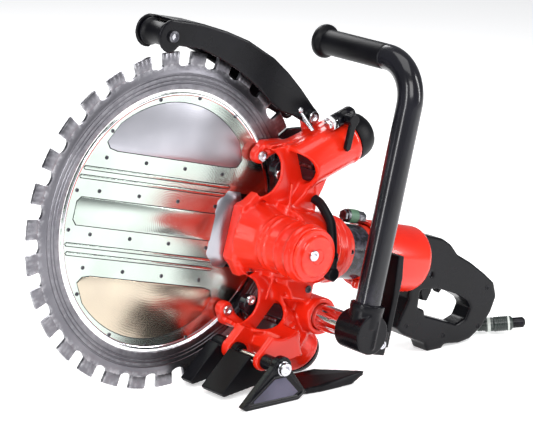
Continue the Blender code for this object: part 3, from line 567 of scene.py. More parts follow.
def path_frames(points: Sequence[Vector]) -> list[tuple[Vector, Vector, Vector]]:
    """Carries a frame along a path without twist.

    Args:
        points: the path.

    Returns:
        Each point with two directions across the path.
    """
    count = len(points)
    ways = [(points[min(i + 1, count - 1)] - points[max(i - 1, 0)]).normalized() for i in range(count)]
    side = ways[0].orthogonal().normalized()
    frames = []
    for i in range(count):
        if i:
            side = ways[i - 1].rotation_difference(ways[i]) @ side
        side = (side - ways[i] * side.dot(ways[i])).normalized()
        frames.append((points[i], side, ways[i].cross(side)))
    return frames


def plate(
    bm: bmesh.types.BMesh, outline: Sequence[tuple[float, float]], low: float, high: float, index: int = 0
) -> None:
    """Makes a flat plate between two Y faces.

    Args:
        bm: the mesh to add to.
        outline: machine X and Z, in order.
        low: the nearer Y face.
        high: the farther Y face.
        index: material index.
    """
    near = [Vector((x, low, z)) for x, z in outline]
    far = [Vector((x, high, z)) for x, z in outline]
    loft(bm, [near, far], index=index)


def arc(centre: tuple[float, float], radius: float, start: float, end: float, steps: int = 16
        ) -> list[tuple[float, float]]:
    """Gives points of an arc in the XZ plane, with angles in degrees."""
    return [(centre[0] + radius * math.cos(math.radians(start + (end - start) * i / steps)),
             centre[1] + radius * math.sin(math.radians(start + (end - start) * i / steps)))
            for i in range(steps + 1)]


def spline(route: Sequence[Point], per_span: int = 8) -> list[Vector]:
    """Runs a smooth curve through points.

    Args:
        route: the points.
        per_span: steps between two points.

    Returns:
        The curve's points.
    """
    knots = [Vector(p) for p in route]
    knots = [2 * knots[0] - knots[1]] + knots + [2 * knots[-1] - knots[-2]]
    points = []
    for a, b, c, d in zip(knots, knots[1:], knots[2:], knots[3:]):
        for i in range(per_span):
            u = i / per_span
            points.append(0.5 * (2 * b + (c - a) * u + (2 * a - 5 * b + 4 * c - d) * u * u
                                 + (3 * b - a - 3 * c + d) * u ** 3))
    points.append(knots[-2])
    return points


def rod(
    bm: bmesh.types.BMesh, start: Point, end: Point, radius: float, steps: int = 16, index: int = 0
) -> None:
    """Makes a round bar with softly domed ends between two places.

    Args:
        bm: the mesh to add to.
        start: the middle of one end.
        end: the middle of the other end.
        radius: the bar's radius.
        steps: facets around.
        index: material index.
    """
    a, b = Vector(start), Vector(end)
    length = (b - a).length
    soft = min(radius * 0.4, length * 0.3)
    profile = [(0, 0), (radius - soft, 0), (radius, soft), (radius, length - soft), (radius - soft, length),
               (0, length)]
    lathe(bm, profile, a, b - a, steps, index)


# ---------------------------------------------------------------- pieces
def apply_modifiers(piece: bpy.types.Object) -> None:
    """Turns a piece's modifiers into plain mesh.

    Args:
        piece: the piece, whose modifiers are removed.
    """
    graph = bpy.context.evaluated_depsgraph_get()
    graph.update()
    mesh = bpy.data.meshes.new_from_object(piece.evaluated_get(graph))
    piece.modifiers.clear()
    old = piece.data
    piece.data = mesh
    bpy.data.meshes.remove(old)


def settle(
    piece: bpy.types.Object, body: str, replaces: Sequence[str] = (), angle: float = 40.0
) -> bpy.types.Object:
    """Gives a piece its shading and body, and reports it.

    Args:
        piece: the piece, in world metres.
        body: the body that it rides on.
        replaces: CAD nodes that it stands for.
        angle: crease angle for smooth shading, in degrees.

    Returns:
        The piece.
    """
    piece.data.shade_smooth()
    piece.data.set_sharp_from_angle(angle=math.radians(angle))
    if replaces:
        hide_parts(*replaces)
    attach(piece, body)
    LOG.info("%s rides on %s, %d faces", piece.name, body, len(piece.data.polygons))
    return piece


def make_piece(
    name: str,
    build: Callable[[bmesh.types.BMesh], None],
    finishes: Sequence[Finish],
    body: str,
    replaces: Sequence[str] = (),
    bevel: float = 0.0,
    angle: float = 40.0,
) -> bpy.types.Object:
    """Builds a piece from mesh code in machine millimetres.

    Args:
        name: name of the piece.
        build: function that fills the mesh.
        finishes: finishes by material index.
        body: the body that it rides on.
        replaces: CAD nodes that it stands for.
        bevel: width of the rounded edges in millimetres.
        angle: crease angle for smooth shading, in degrees.

    Returns:
        The finished piece.
    """
    bm = bmesh.new()
    build(bm)
    bmesh.ops.recalc_face_normals(bm, faces=bm.faces)
    bm.transform(MACHINE.matrix)
    mesh = bpy.data.meshes.new(name)
    bm.to_mesh(mesh)
    bm.free()
    piece = bpy.data.objects.new(name, mesh)
    bpy.context.scene.collection.objects.link(piece)
    for finish in finishes:
        mesh.materials.append(PALETTE.material(finish))
    if bevel:
        round_edges(piece, bevel * MM)
    return settle(piece, body, replaces, angle)


def round_edges(piece: bpy.types.Object, width: float) -> None:
    """Rounds a piece's sharp edges and applies the result.

    Args:
        piece: the piece to round.
        width: width of the rounding in metres.
    """
    modifier = piece.modifiers.new("Bevel", "BEVEL")
    modifier.width = width
    modifier.segments = 3
    modifier.limit_method = "ANGLE"
    modifier.angle_limit = EDGE_ANGLE
    modifier.harden_normals = False
    apply_modifiers(piece)


def recast(
    name: str,
    nodes: Sequence[str],
    finish: Finish,
    body: str,
    voxel: float,
    smooth: int,
    extras: Callable[[bmesh.types.BMesh], None] | None = None,
) -> bpy.types.Object:
    """Recasts CAD solids as one moulded skin, with fillets at every edge.

    Args:
        name: name of the piece.
        nodes: CAD nodes that the skin stands for.
        finish: its finish.
        body: the body that it rides on.
        voxel: grid size in millimetres.
        smooth: passes of smoothing, which set the fillets' size.
        extras: function that adds ribs and bosses in machine millimetres.

    Returns:
        The finished piece.
    """
    bm = bmesh.new()
    for node in nodes:
        bm.from_mesh(frame["nodes"][node].data)
    bmesh.ops.remove_doubles(bm, verts=bm.verts, dist=WELD)
    if extras:
        more = bmesh.new()
        extras(more)
        bmesh.ops.recalc_face_normals(more, faces=more.faces)
        more.transform(MACHINE.matrix)
        scratch = bpy.data.meshes.new("extras")
        more.to_mesh(scratch)
        more.free()
        bm.from_mesh(scratch)
        bpy.data.meshes.remove(scratch)
    mesh = bpy.data.meshes.new(name)
    bm.to_mesh(mesh)
    bm.free()
    piece = bpy.data.objects.new(name, mesh)
    bpy.context.scene.collection.objects.link(piece)
    remesh = piece.modifiers.new("Remesh", "REMESH")
    remesh.mode = "VOXEL"
    remesh.voxel_size = voxel * MM
    remesh.use_smooth_shade = True
    relax = piece.modifiers.new("Smooth", "SMOOTH")
    relax.factor = 0.5
    relax.iterations = smooth
    apply_modifiers(piece)
    piece.data.materials.clear()
    piece.data.materials.append(PALETTE.material(finish))
    return settle(piece, body, nodes, angle=180.0)


# ---------------------------------------------------------------- geometry node tools
class Repeater:
    """Geometry Nodes tree that sets one shape on many points."""

    def __init__(self) -> None:
        """Builds the tree with its named inputs."""
        self.tree, source, sink = new_group(
            "SetOnPoints",
            "GeometryNodeTree",
            (("Points", Sockets.GEOMETRY), ("Shape", Sockets.OBJECT), ("Size", Sockets.VALUE),
             ("Material", Sockets.MATERIAL)),
            (("Geometry", Sockets.GEOMETRY),),
        )
        nodes, links = self.tree.nodes, self.tree.links
        shape = nodes.new("GeometryNodeObjectInfo")
        links.new(source.outputs["Shape"], shape.inputs["Object"])
        instance = nodes.new("GeometryNodeInstanceOnPoints")
        links.new(source.outputs["Points"], instance.inputs["Points"])
        links.new(shape.outputs["Geometry"], instance.inputs["Instance"])
        links.new(source.outputs["Size"], instance.inputs["Scale"])
        realize = nodes.new("GeometryNodeRealizeInstances")
        links.new(instance.outputs[0], realize.inputs[0])
        paint = nodes.new("GeometryNodeSetMaterial")
        links.new(realize.outputs[0], paint.inputs["Geometry"])
        links.new(source.outputs["Material"], paint.inputs["Material"])
        links.new(paint.outputs[0], sink.inputs["Geometry"])

    def place(
        self,
        name: str,
        points: Sequence[Point],
        shape: Callable[[bmesh.types.BMesh], None],
        finish: Finish,
        body: str,
        size: float = 1.0,
        replaces: Sequence[str] = (),
    ) -> bpy.types.Object:
        """Sets a shape on points of the machine.

        Args:
            name: name of the piece.
            points: places in machine millimetres.
            shape: function that builds the shape about the origin in machine millimetres.
            finish: finish of every copy.
            body: the body that the piece rides on.
            size: scale of the shape.
            replaces: CAD nodes that it stands for.

        Returns:
            The finished piece.
        """
        bm = bmesh.new()
        shape(bm)
        bmesh.ops.recalc_face_normals(bm, faces=bm.faces)
        turn = MACHINE.matrix.to_3x3().to_4x4()
        bm.transform(turn)
        seed_mesh = bpy.data.meshes.new("seed")
        bm.to_mesh(seed_mesh)
        bm.free()
        seed = bpy.data.objects.new("seed", seed_mesh)
        mesh = bpy.data.meshes.new(name)
        mesh.from_pydata([MACHINE.point(p) for p in points], [], [])
        piece = bpy.data.objects.new(name, mesh)
        bpy.context.scene.collection.objects.link(piece)
        modifier = piece.modifiers.new("Repeat", "NODES")
        modifier.node_group = self.tree
        keys = {item.name: item.identifier for item in self.tree.interface.items_tree
                if item.in_out == "INPUT"}
        modifier[keys["Shape"]] = seed
        modifier[keys["Size"]] = size
        modifier[keys["Material"]] = PALETTE.material(finish)
        apply_modifiers(piece)
        bpy.data.objects.remove(seed)
        bpy.data.meshes.remove(seed_mesh)
        return settle(piece, body, replaces)


class PolarRepeater:
    """Geometry Nodes tree that turns one sector about the ring's axis into a full ring."""

    def __init__(self) -> None:
        """Builds the tree with its named inputs."""
        self.tree, source, sink = new_group(
            "PolarRepeat",
            "GeometryNodeTree",
            (("Sector", Sockets.GEOMETRY), ("Count", Sockets.VALUE), ("Centre", Sockets.VECTOR)),
            (("Geometry", Sockets.GEOMETRY),),
        )
        nodes, links = self.tree.nodes, self.tree.links
        points = nodes.new("GeometryNodePoints")
        links.new(source.outputs["Count"], points.inputs["Count"])
        links.new(source.outputs["Centre"], points.inputs["Position"])
        index = nodes.new("GeometryNodeInputIndex")
        pitch = nodes.new("ShaderNodeMath")
        pitch.operation = "DIVIDE"
        pitch.inputs[0].default_value = 2 * math.pi
        links.new(source.outputs["Count"], pitch.inputs[1])
        angle = nodes.new("ShaderNodeMath")
        angle.operation = "MULTIPLY"
        links.new(index.outputs[0], angle.inputs[0])
        links.new(pitch.outputs[0], angle.inputs[1])
        turn = nodes.new("ShaderNodeCombineXYZ")
        links.new(angle.outputs[0], turn.inputs["Y"])
        instance = nodes.new("GeometryNodeInstanceOnPoints")
        links.new(points.outputs[0], instance.inputs["Points"])
        links.new(source.outputs["Sector"], instance.inputs["Instance"])
        links.new(turn.outputs[0], instance.inputs["Rotation"])
        realize = nodes.new("GeometryNodeRealizeInstances")
        links.new(instance.outputs[0], realize.inputs[0])
        weld = nodes.new("GeometryNodeMergeByDistance")
        weld.inputs["Distance"].default_value = 0.00002
        links.new(realize.outputs[0], weld.inputs["Geometry"])
        links.new(weld.outputs[0], sink.inputs["Geometry"])

    def turn(self, piece: bpy.types.Object, count: int) -> None:
        """Repeats a piece, whose mesh is about the world's origin, round the ring's centre.

        Args:
            piece: one sector about the origin.
            count: how many sectors make the ring.
        """
        modifier = piece.modifiers.new("Polar", "NODES")
        modifier.node_group = self.tree
        keys = {item.name: item.identifier for item in self.tree.interface.items_tree
                if item.in_out == "INPUT"}
        modifier[keys["Count"]] = float(count)
        modifier[keys["Centre"]] = MACHINE.point((0, 0, 0))
        apply_modifiers(piece)


REPEATER = Repeater()
POLAR = PolarRepeater()


@dataclass(frozen=True)
class ScrewHead:
    """Round head with a hexagon socket, facing the saw's left side."""

    radius: float = 4.0
    height: float = 2.5
    socket: float = 0.5

    def build(self, bm: bmesh.types.BMesh) -> None:
        """Builds the head about the origin, with its seat at Y 0.

        Args:
            bm: the mesh to fill.
        """
        steps = 24
        top = -self.height
        edge = min(0.5, self.radius * 0.15)
        axis = Vector((0, -1, 0))
        rings = [ring_points(Vector((0, 0.3, 0)), axis, self.radius, steps),
                 ring_points(Vector((0, top + edge, 0)), axis, self.radius, steps),
                 ring_points(Vector((0, top, 0)), axis, self.radius - edge, steps),
                 self._hexagon(top, steps), self._hexagon(top * 0.35, steps)]
        loft(bm, rings)

    def _hexagon(self, level: float, steps: int) -> list[Vector]:
        """Gives a hexagon sampled with as many points as the head's circle.

        Args:
            level: its Y.
            steps: how many points.

        Returns:
            The points, in the order of the head's rings.
        """
        flat = self.radius * self.socket
        points = []
        for p in ring_points(Vector((0, 0, 0)), Vector((0, -1, 0)), 1.0, steps):
            angle = math.atan2(p.z, p.x)
            sector = (angle % (math.pi / 3)) - math.pi / 6
            reach = flat / math.cos(sector)
            points.append(Vector((reach * math.cos(angle), level, reach * math.sin(angle))))
        return points


def rivet(bm: bmesh.types.BMesh) -> None:
    """Builds a small countersunk rivet about the origin."""
    lathe(bm, [(0, 0.2), (2.1, 0.2), (2.1, -0.35), (1.6, -0.6), (1.1, -0.62), (0.9, -0.35), (0, -0.35)],
          (0, 0, 0), (0, 1, 0), 16)


# ---------------------------------------------------------------- sub-assemblies
@dataclass
class CuttingRing:
    """The segmented ring blade."""

    body: str = "blade"
    radius: float = 175.0
    bore: float = 136.6
    segments: int = 30
    start: float = 8.4
    segment_width: float = 20.5
    segment_height: float = 12.0
    gullet: float = 3.5
    half: float = 2.0
    core_half: float = 1.65
    lines: tuple[float, ...] = (143.2, 146.8, 151.6)

    def build(self) -> None:
        """Builds one sector and repeats it round the ring."""
        pitch = 360.0 / self.segments
        bm = bmesh.new()
        self._core(bm, pitch)
        self._tooth(bm, pitch)
        bmesh.ops.remove_doubles(bm, verts=bm.verts, dist=1e-4)
        bmesh.ops.recalc_face_normals(bm, faces=bm.faces)
        bm.transform(MACHINE.matrix.to_3x3().to_4x4())
        mesh = bpy.data.meshes.new("ring_blade_steel")
        bm.to_mesh(mesh)
        bm.free()
        piece = bpy.data.objects.new("ring_blade_steel", mesh)
        bpy.context.scene.collection.objects.link(piece)
        POLAR.turn(piece, self.segments)
        piece.data.materials.clear()
        for finish in (RING_STEEL, SEGMENT_STEEL, GROOVE_SHADE):
            piece.data.materials.append(PALETTE.material(finish))
        settle(piece, self.body, ("ring_blade",), angle=30.0)

    def _spot(self, radius: float, degrees: float, y: float) -> Vector:
        """Gives a place from its polar coordinates about the ring's axis."""
        turn = math.radians(degrees)
        return Vector((radius * math.cos(turn), y, radius * math.sin(turn)))

    def _core(self, bm: bmesh.types.BMesh, pitch: float) -> None:
        """Builds the core's sector: a band with turned grooves and a scalloped edge; the grooves' faces are
        painted near-black as painted shade.

        Args:
            bm: the mesh to fill.
            pitch: angle of the sector in degrees.
        """
        radii = [(self.bore, self.core_half), (self.bore + 1.2, self.half)]
        for line in self.lines:
            radii += [(line - 1.0, self.half), (line - 0.5, self.half - 0.7), (line + 0.5, self.half - 0.7),
                      (line + 1.0, self.half)]
        radii += [(154.0, self.half), (154.8, self.core_half)]
        steps = 10
        half_tooth = math.degrees(self.segment_width / 2 / self.radius)
        gap = pitch / 2 - half_tooth
        columns = []
        for i in range(steps + 1):
            offset = -pitch / 2 + pitch * i / steps
            columns.append(offset)
        columns += [-half_tooth, half_tooth]
        columns = sorted(set(round(c, 4) for c in columns))
        rows = []
        for offset in columns:
            beyond = max(0.0, (abs(offset) - half_tooth) / gap)
            dip = self.gullet * math.sqrt(max(0.0, 1 - (1 - beyond) ** 2))
            edge = self.radius - self.segment_height - dip
            angle = self.start + offset
            front = [self._spot(r, angle, -h) for r, h in radii] + [self._spot(edge, angle, -self.core_half)]
            back = [self._spot(r, angle, h) for r, h in radii] + [self._spot(edge, angle, self.core_half)]
            rows.append(front + list(reversed(back)))
        made = [[bm.verts.new(p) for p in row] for row in rows]
        count = len(made[0])
        # Faces inside the grooves take material 2, near-black: painted shade in the grooves.
        groove = {k for n in range(len(self.lines)) for k in range(2 + 4 * n, 5 + 4 * n)}
        for one, two in zip(made, made[1:]):
            for k in range(count):
                nxt = (k + 1) % count
                face = bm.faces.new((one[k], one[nxt], two[nxt], two[k]))
                mirror = count - 2 - k
                face.material_index = 2 if k in groove or mirror in groove else 0

    def _tooth(self, bm: bmesh.types.BMesh, pitch: float) -> None:
        """Builds the diamond segment with its grooved faces.

        Args:
            bm: the mesh to fill.
            pitch: angle of the sector in degrees; not used.
        """
        low = self.radius - self.segment_height - 1.0
        half_tooth = math.degrees(self.segment_width / 2 / self.radius)
        cells = 12
        rows = []
        for i in range(cells + 1):
            offset = -half_tooth + 2 * half_tooth * i / cells
            ridge = 0.0 if i % 3 else 0.30
            proud = self.half - ridge if 0 < i < cells else self.half - 0.35
            angle = self.start + offset
            levels = [(low, self.core_half - 0.2), (low + 1.2, proud), (self.radius - 1.0, proud),
                      (self.radius - 0.05, proud - 0.5)]
            rows.append([self._spot(r, angle, -h) for r, h in levels]
                        + [self._spot(r, angle, h) for r, h in reversed(levels)])
        loft(bm, rows, index=1)


@dataclass
class CentreDisc:
    """The fixed polished disc inside the ring."""

    body: str = "chassis"
    radius: float = 133.5
    face: float = 1.5
    lift: float = 0.55
    # How far the painted shade band reaches beyond each pressed shape.
    crease: float = 0.8

    def build(self) -> None:
        """Dresses the disc and adds its pressed panels, beads and rivets."""
        node = frame["nodes"]["centre_disc"]
        node.data.materials.clear()
        node.data.materials.append(PALETTE.material(DISC_SAGE))
        make_piece("disc_panel_upper", self._moon(1), (DISC_GREY,), self.body, bevel=0.35)
        make_piece("disc_panel_lower", self._moon(-1), (DISC_BEIGE,), self.body, bevel=0.35)
        make_piece("disc_beads", self._beads, (DISC_SAGE,), self.body, bevel=0.25)
        # A thin near-black band round each pressed shape: painted shade in the crease.
        make_piece("disc_creases", self._crease_shade, (GROOVE_SHADE,), self.body)
        make_piece("disc_rim", self._rim, (POLISHED_CHROME,), self.body)
        make_piece("disc_notch_cover", self._notch_cover, (DISC_GREY,), self.body, bevel=1.5)
        REPEATER.place("disc_rivets", self._rivets(), rivet, DARK_STEEL, self.body)

    def _both(self, bm: bmesh.types.BMesh, outline: Sequence[tuple[float, float]], lift: float) -> None:
        """Raises an outline on both faces of the disc."""
        plate(bm, outline, -self.face - lift, -self.face + 0.3)
        plate(bm, outline, self.face - 0.3, self.face + lift)

    @staticmethod
    def _moon_outline(side: int) -> list[tuple[float, float]]:
        """Gives the outline of a pressed half moon.

        Args:
            side: 1 for the upper one, -1 for the lower one.

        Returns:
            Machine X and Z, in order.
        """
        outline = [(x - 8, z + 4) for x, z in arc((0, 0), 118, 48, 132, 21)]
        outline += [(-99, 72), (-94, 66), (-84, 64), (66, 64), (76, 66), (80, 74)]
        return [(x, side * z) for x, z in outline]

    def _moon(self, side: int) -> Callable[[bmesh.types.BMesh], None]:
        """Gives the builder of a pressed half moon.

        Args:
            side: 1 for the upper one, -1 for the lower one.

        Returns:
            A function that fills a mesh.
        """
        return lambda bm: self._both(bm, self._moon_outline(side), self.lift)

    def _bead_outlines(self) -> list[list[tuple[float, float]]]:
        """Gives the outlines of the strips across the disc and of the middle panel.

        Returns:
            One list of machine X and Z for each shape.
        """
        outlines = []
        for side in (1, -1):
            for low, high in ((33.0, 36.0), (42.0, 45.0)):
                reach = math.sqrt(self.radius ** 2 - high ** 2) - 6
                middle = (low + high) / 2
                strip = [(-reach, low), (70, low), (72, middle), (70, high), (-reach, high),
                         (-reach - 2, middle)]
                outlines.append([(x, side * z) for x, z in strip])
        outlines.append([(-116, -14), (66, -14), (70, -10), (70, 10), (66, 14), (-116, 14), (-121, 9),
                         (-121, -9)])
        return outlines

    def _beads(self, bm: bmesh.types.BMesh) -> None:
        """Builds the pressed strips and the middle panel."""
        for outline in self._bead_outlines():
            self._both(bm, outline, 0.42)

    def _crease_shade(self, bm: bmesh.types.BMesh) -> None:
        """Builds a thin dark band round every pressed shape: painted shade in its crease.

        Args:
            bm: the mesh to fill.
        """
        for outline in [self._moon_outline(1), self._moon_outline(-1)] + self._bead_outlines():
            xs, zs = [x for x, _ in outline], [z for _, z in outline]
            cx, cz = (min(xs) + max(xs)) / 2, (min(zs) + max(zs)) / 2
            wide, high = (max(xs) - min(xs)) / 2, (max(zs) - min(zs)) / 2
            grown = [(cx + (x - cx) * (1 + self.crease / wide), cz + (z - cz) * (1 + self.crease / high))
                     for x, z in outline]
            self._both(bm, grown, 0.08)

    def _notch_cover(self, bm: bmesh.types.BMesh) -> None:
        """Builds the raised panel in front of the drive wheel's edge.

        Args:
            bm: the mesh to fill.
        """
        near = [(71, -26), (76, -32), (88, -32), (88, 32), (76, 32), (71, 26)]
        far = [(60, -28), (72, -40), (88, -40), (88, 40), (72, 40), (60, 28)]
        loft(bm, [[Vector((x, -6.6, z)) for x, z in near], [Vector((x, -1.6, z)) for x, z in far],
                  [Vector((x, -1.4, z)) for x, z in far]])

    def _rim(self, bm: bmesh.types.BMesh) -> None:
        """Builds the bright rolled rim of the disc.

        Args:
            bm: the mesh to fill.
        """
        steps = 96
        rings = []
        section = [(self.radius - 3.4, -1.4), (self.radius - 2.6, -2.0), (self.radius - 1.0, -2.1),
                   (self.radius - 0.05, -1.2), (self.radius - 0.05, 1.2), (self.radius - 1.0, 2.1),
                   (self.radius - 2.6, 2.0), (self.radius - 3.4, 1.4)]
        opening = 19.0
        for i in range(steps + 1):
            turn = math.radians(opening + (360 - 2 * opening) * i / steps)
            rings.append([Vector((r * math.cos(turn), y, r * math.sin(turn))) for r, y in section])
        loft(bm, rings)

    def _rivets(self) -> list[Point]:
        """Gives the places of the rivets on the disc's near face.

        Returns:
            Places in machine millimetres.
        """
        spots = []
        for side in (1, -1):
            for x in (-96, -44.5, 7, 58):
                spots += [(x, side * 56), (x, side * 22)]
            spots += [(-124, side * 20), (-96, side * 83), (-44, side * 121), (6, side * 129)]
            spots += [(58, side * 117)]
        return [(x, -self.face - 0.1, z) for x, z in spots]


@dataclass
class Casting:
    """The red casting with its hub, roller arms and lugs."""

    body: str = "chassis"
    drive_x: float = 106.3
    window: tuple[float, float] = (110.0, 66.0)
    window_radius: float = 28.0
    lip_upper: tuple[float, float] = (87.0, 67.0)
    lip_lower: tuple[float, float] = (95.0, -67.0)
    lip_radius: float = 25.0
    finger: tuple[float, float] = (95.0, 82.0)
    arm_y: float = -35.0
    tube_y: float = -52.0

    def build(self) -> None:
        """Recasts the casting with its ribs and sets its screws."""
        recast("casting_skin", ("cover_casting",), RED_ENAMEL, self.body, 1.4, 6, self._ribs)
        make_piece("hub_cap_turned", self._hub_cap, (RED_ENAMEL,), self.body, ("hub_cap",), angle=30)
        head = ScrewHead(3.2, 1.6)
        REPEATER.place("flange_screws", self._flange_screws(), head.build, DARK_STEEL, self.body)
        big = ScrewHead(5.6, 3.0)
        REPEATER.place("hub_screws", [(98.7, -116.2, 1.0)], big.build, BRIGHT_STEEL, self.body)
        corner = ScrewHead(4.0, 1.0)
        REPEATER.place("corner_screw", [(155.4, -62.6, -43.0)], corner.build, DARK_STEEL, self.body)
        lug = ScrewHead(5.6, 2.4)
        spots = [(self.finger[0], -14.3, side * self.finger[1]) for side in (1, -1)]
        REPEATER.place("lug_screws", spots, lug.build, BRIGHT_STEEL, self.body,
                       replaces=("disc_screw_upper", "disc_screw_lower"))
        make_piece("relief_nut", self._nut, (BRIGHT_STEEL,), self.body, bevel=0.4)
        make_piece("hinge_strap", self._strap, (BRIGHT_STEEL,), self.body, bevel=0.4)

    def _ribs(self, bm: bmesh.types.BMesh) -> None:
        """Adds the cast ribs, beads, bosses and hub steps.

        Args:
            bm: the mesh to fill.
        """
        x, y = self.drive_x, 0.0
        for level, radius, width in ((-58, 30.4, 3.0), (-66, 31.2, 2.0), (-84, 30.2, 3.0), (-101, 30.6, 5.0)):
            profile = [(20, level), (radius - 1, level), (radius, level + 0.8), (radius, level + width - 0.8),
                       (radius - 1, level + width), (20, level + width)]
            lathe_ring(bm, profile, (x, y, 0), (0, 1, 0), 64)
        for side in (1, -1):
            # The upper and the lower half each have two ribs along the column.
            rod(bm, (120, -46, side * 28), (115, -46, side * 62), 1.8)
            rod(bm, (155, -45.5, side * 38), (146, -45.5, side * 78), 1.8)
            rod(bm, (124, -23.5, side * 92), (164, -23.5, side * 118), 2.2)
            rod(bm, (84, -24.5, side * 31), (99, -24.5, side * 41), 2.0)
            self._window_lip(bm, side)
            fx, fz = self.finger
            rod(bm, (fx, -14.2, side * fz), (fx, -3, side * fz), 8.8, 24)
            rod(bm, (fx + 5, -12.0, side * (fz + 4)), (124, -19, side * 99), 4.5)
        rod(bm, (127, -53, -55), (176, -62, -58), 2.0)
        rod(bm, (150, -60, -80), (113, -76, -121), 2.4)
        rod(bm, (178, -52, -84), (150, -70, -113), 3.0)
        rod(bm, (155.4, -50, -43), (155.4, -62.4, -43), 6.5)
        rod(bm, (82, -25, 20), (82, -25, -20), 2.0)
        for z in (27, -27):
            rod(bm, (84, -26, z * 0.8), (84, -15, z * 0.8), 5.0)
            rod(bm, (103, -26, z * 1.2), (103, -15, z * 1.2), 5.0)
        # Cast rings round the motor's end of the body, and the boss of the water lever.
        for along, radius in ((150, 37.0), (159, 37.8)):
            lathe_ring(bm, [(30, along), (radius, along), (radius, along + 4), (30, along + 4)],
                       (0, self.tube_y, 0), (1, 0, 0), 64)
        rod(bm, (98.7, -100, 1.0), (98.7, -116.0, 1.0), 8.4, 24)
        base = Vector((0, self.arm_y, 0))
        for side in (1, -1):
            way = arm_direction(side)
            collar = [(20, 212), (25.6, 212), (25.9, 216), (25.0, 219.7), (20, 219.7)]
            lathe_ring(bm, collar, base, way, 64)

    def _window_lip(self, bm: bmesh.types.BMesh, side: int) -> None:
        """Adds the raised lip that closes the rear part of a window.

        Args:
            bm: the mesh to fill.
            side: 1 for the upper window, -1 for the lower one.
        """
        centre = (self.window[0], side * self.window[1])
        edge = self.lip_upper if side > 0 else self.lip_lower
        reach = self.window_radius + 6
        outer = arc(centre, reach, side * -84, side * 84, 32)
        inner = arc(edge, self.lip_radius, side * 84, side * -84, 32)
        plate(bm, outer + inner, -31.0, -27.2)
        band = arc(centre, reach, side * -84, side * 84, 32)
        band += arc(centre, self.window_radius + 1, side * 84, side * -84, 32)
        plate(bm, band, -31.0, -21.0)

    def _hub_cap(self, bm: bmesh.types.BMesh) -> None:
        """Builds the stepped cap on the hub.

        Args:
            bm: the mesh to fill.
        """
        profile = [(0, -108.1), (26.4, -108.1), (27, -108.7), (27, -111.2), (26.2, -112.0), (22.2, -112.4),
                   (21, -113.4), (21, -115.0), (20, -116.0), (8.2, -116.2), (7.4, -115.6), (0, -115.6)]
        lathe(bm, profile, (self.drive_x, 0, 0), (0, 1, 0), 64)

    def _flange_screws(self) -> list[Point]:
        """Gives the places of the small screws round the gear case.

        Returns:
            Places in machine millimetres.
        """
        spots = []
        for side in (1, -1):
            spots += [(84, -26.3, side * 21.6), (103, -26.3, side * 32.4)]
        return spots

    def _nut(self, bm: bmesh.types.BMesh) -> None:
        """Builds the silver union nut beside the hub."""
        lathe(bm, [(0, 0), (6.4, 0), (6.4, 6), (5.2, 7), (0, 7)], (127.7, -46, -32), (0, -1, 0), 6)
        lathe(bm, [(0, 6), (4.2, 6), (4.2, 11), (3.2, 12), (2.4, 12), (2.2, 8), (0, 8)],
              (127.7, -46, -32), (0, -1, 0), 24)

    def _strap(self, bm: bmesh.types.BMesh) -> None:
        """Builds the bright stop strap under the guard's hinge."""
        rod(bm, (131.2, -17, 134), (136, -37, 118), 2.3, 16)
        rod(bm, (129, -21.3, 136), (129, -17.0, 136), 3.2, 20)


@dataclass
class RollerArms:
    """Carriers, rollers, posts, springs and end caps of both arms."""

    arm_y: float = -35.0
    pin: float = 158.5

    def build(self) -> None:
        """Dresses both arms."""
        for side, label in ((1, "upper"), (-1, "lower")):
            self._arm(side, label)
        recast("rear_plate", ("back_plate",), GLOSS_BLACK, "chassis", 0.8, 3)
        for label in ("upper", "lower"):
            for node in (f"support_roller_{label}", f"guide_roller_{label}", f"spacer_post_{label}",
                         f"tension_spring_{label}"):
                dress(node, BRIGHT_STEEL)
            dress(f"guide_pin_{label}", DARK_STEEL)
        bolt = ScrewHead(6.5, 3.0)
        for label, side in (("upper", 1), ("lower", -1)):
            x, z = arm_point(self.pin, 0, side)
            REPEATER.place(f"tongue_screw_{label}", [(x - 20.5, -24.2, z - side * 15.8)],
                           ScrewHead(5.4, 2.2).build, BRIGHT_STEEL, f"{label}_carrier")
        spots = []
        for side in (1, -1):
            x, z = arm_point(197.0, 0, side)
            spots.append((x, 15.2, z))
            x, z = arm_point(self.pin, 0, side)
            spots.append((x, 15.2, z))
        REPEATER.place("rear_plate_screws", spots, lambda bm: mirrored_head(bm, bolt), BRIGHT_STEEL,
                       "chassis")

    def _arm(self, side: int, label: str) -> None:
        """Builds one arm's carrier and cap.

        Args:
            side: 1 for the upper arm, -1 for the lower one.
            label: upper or lower.
        """
        recast(f"carrier_{label}", (f"roller_carrier_{label}",), GLOSS_BLACK, f"{label}_carrier", 0.8, 3)

        def cap(bm: bmesh.types.BMesh) -> None:
            """Turns the end cap: the upper one is a dome, the lower one a low cone.

            Args:
                bm: the mesh to fill.
            """
            reach = 220.4
            if side > 0:
                dome = [(25, reach), (25.2, 222), (25.0, 228), (24.3, 233), (23, 237.5), (20.8, 241.3),
                        (17.5, 244.2), (13, 246.3), (7, 247.5), (0, 247.9)]
            else:
                dome = [(25, reach), (24.6, 222), (23, 225.5), (20.4, 228.8), (16.8, 231.4), (12.4, 233.4),
                        (7, 234.6), (0, 234.9)]
            stem = [(0, 190), (8, 190), (8, 217), (18.4, 217), (18.4, reach)]
            lathe(bm, stem + dome, (0, self.arm_y, 0), arm_direction(side), 64)
        make_piece(f"end_cap_{label}", cap, (SOFT_BLACK,), "chassis", (f"tension_cap_{label}",), angle=50)


def mirrored_head(bm: bmesh.types.BMesh, head: ScrewHead) -> None:
    """Builds a screw head that faces the saw's right side."""
    head.build(bm)
    for vertex in bm.verts:
        vertex.co.y = -vertex.co.y


def dress(node: str, finish: Finish) -> None:
    """Gives a CAD node a finish.

    Args:
        node: name of the CAD node.
        finish: its finish.
    """
    mesh = frame["nodes"][node].data
    mesh.materials.clear()
    mesh.materials.append(PALETTE.material(finish))
    LOG.info("%s keeps its solid, in %s", node, finish.name)


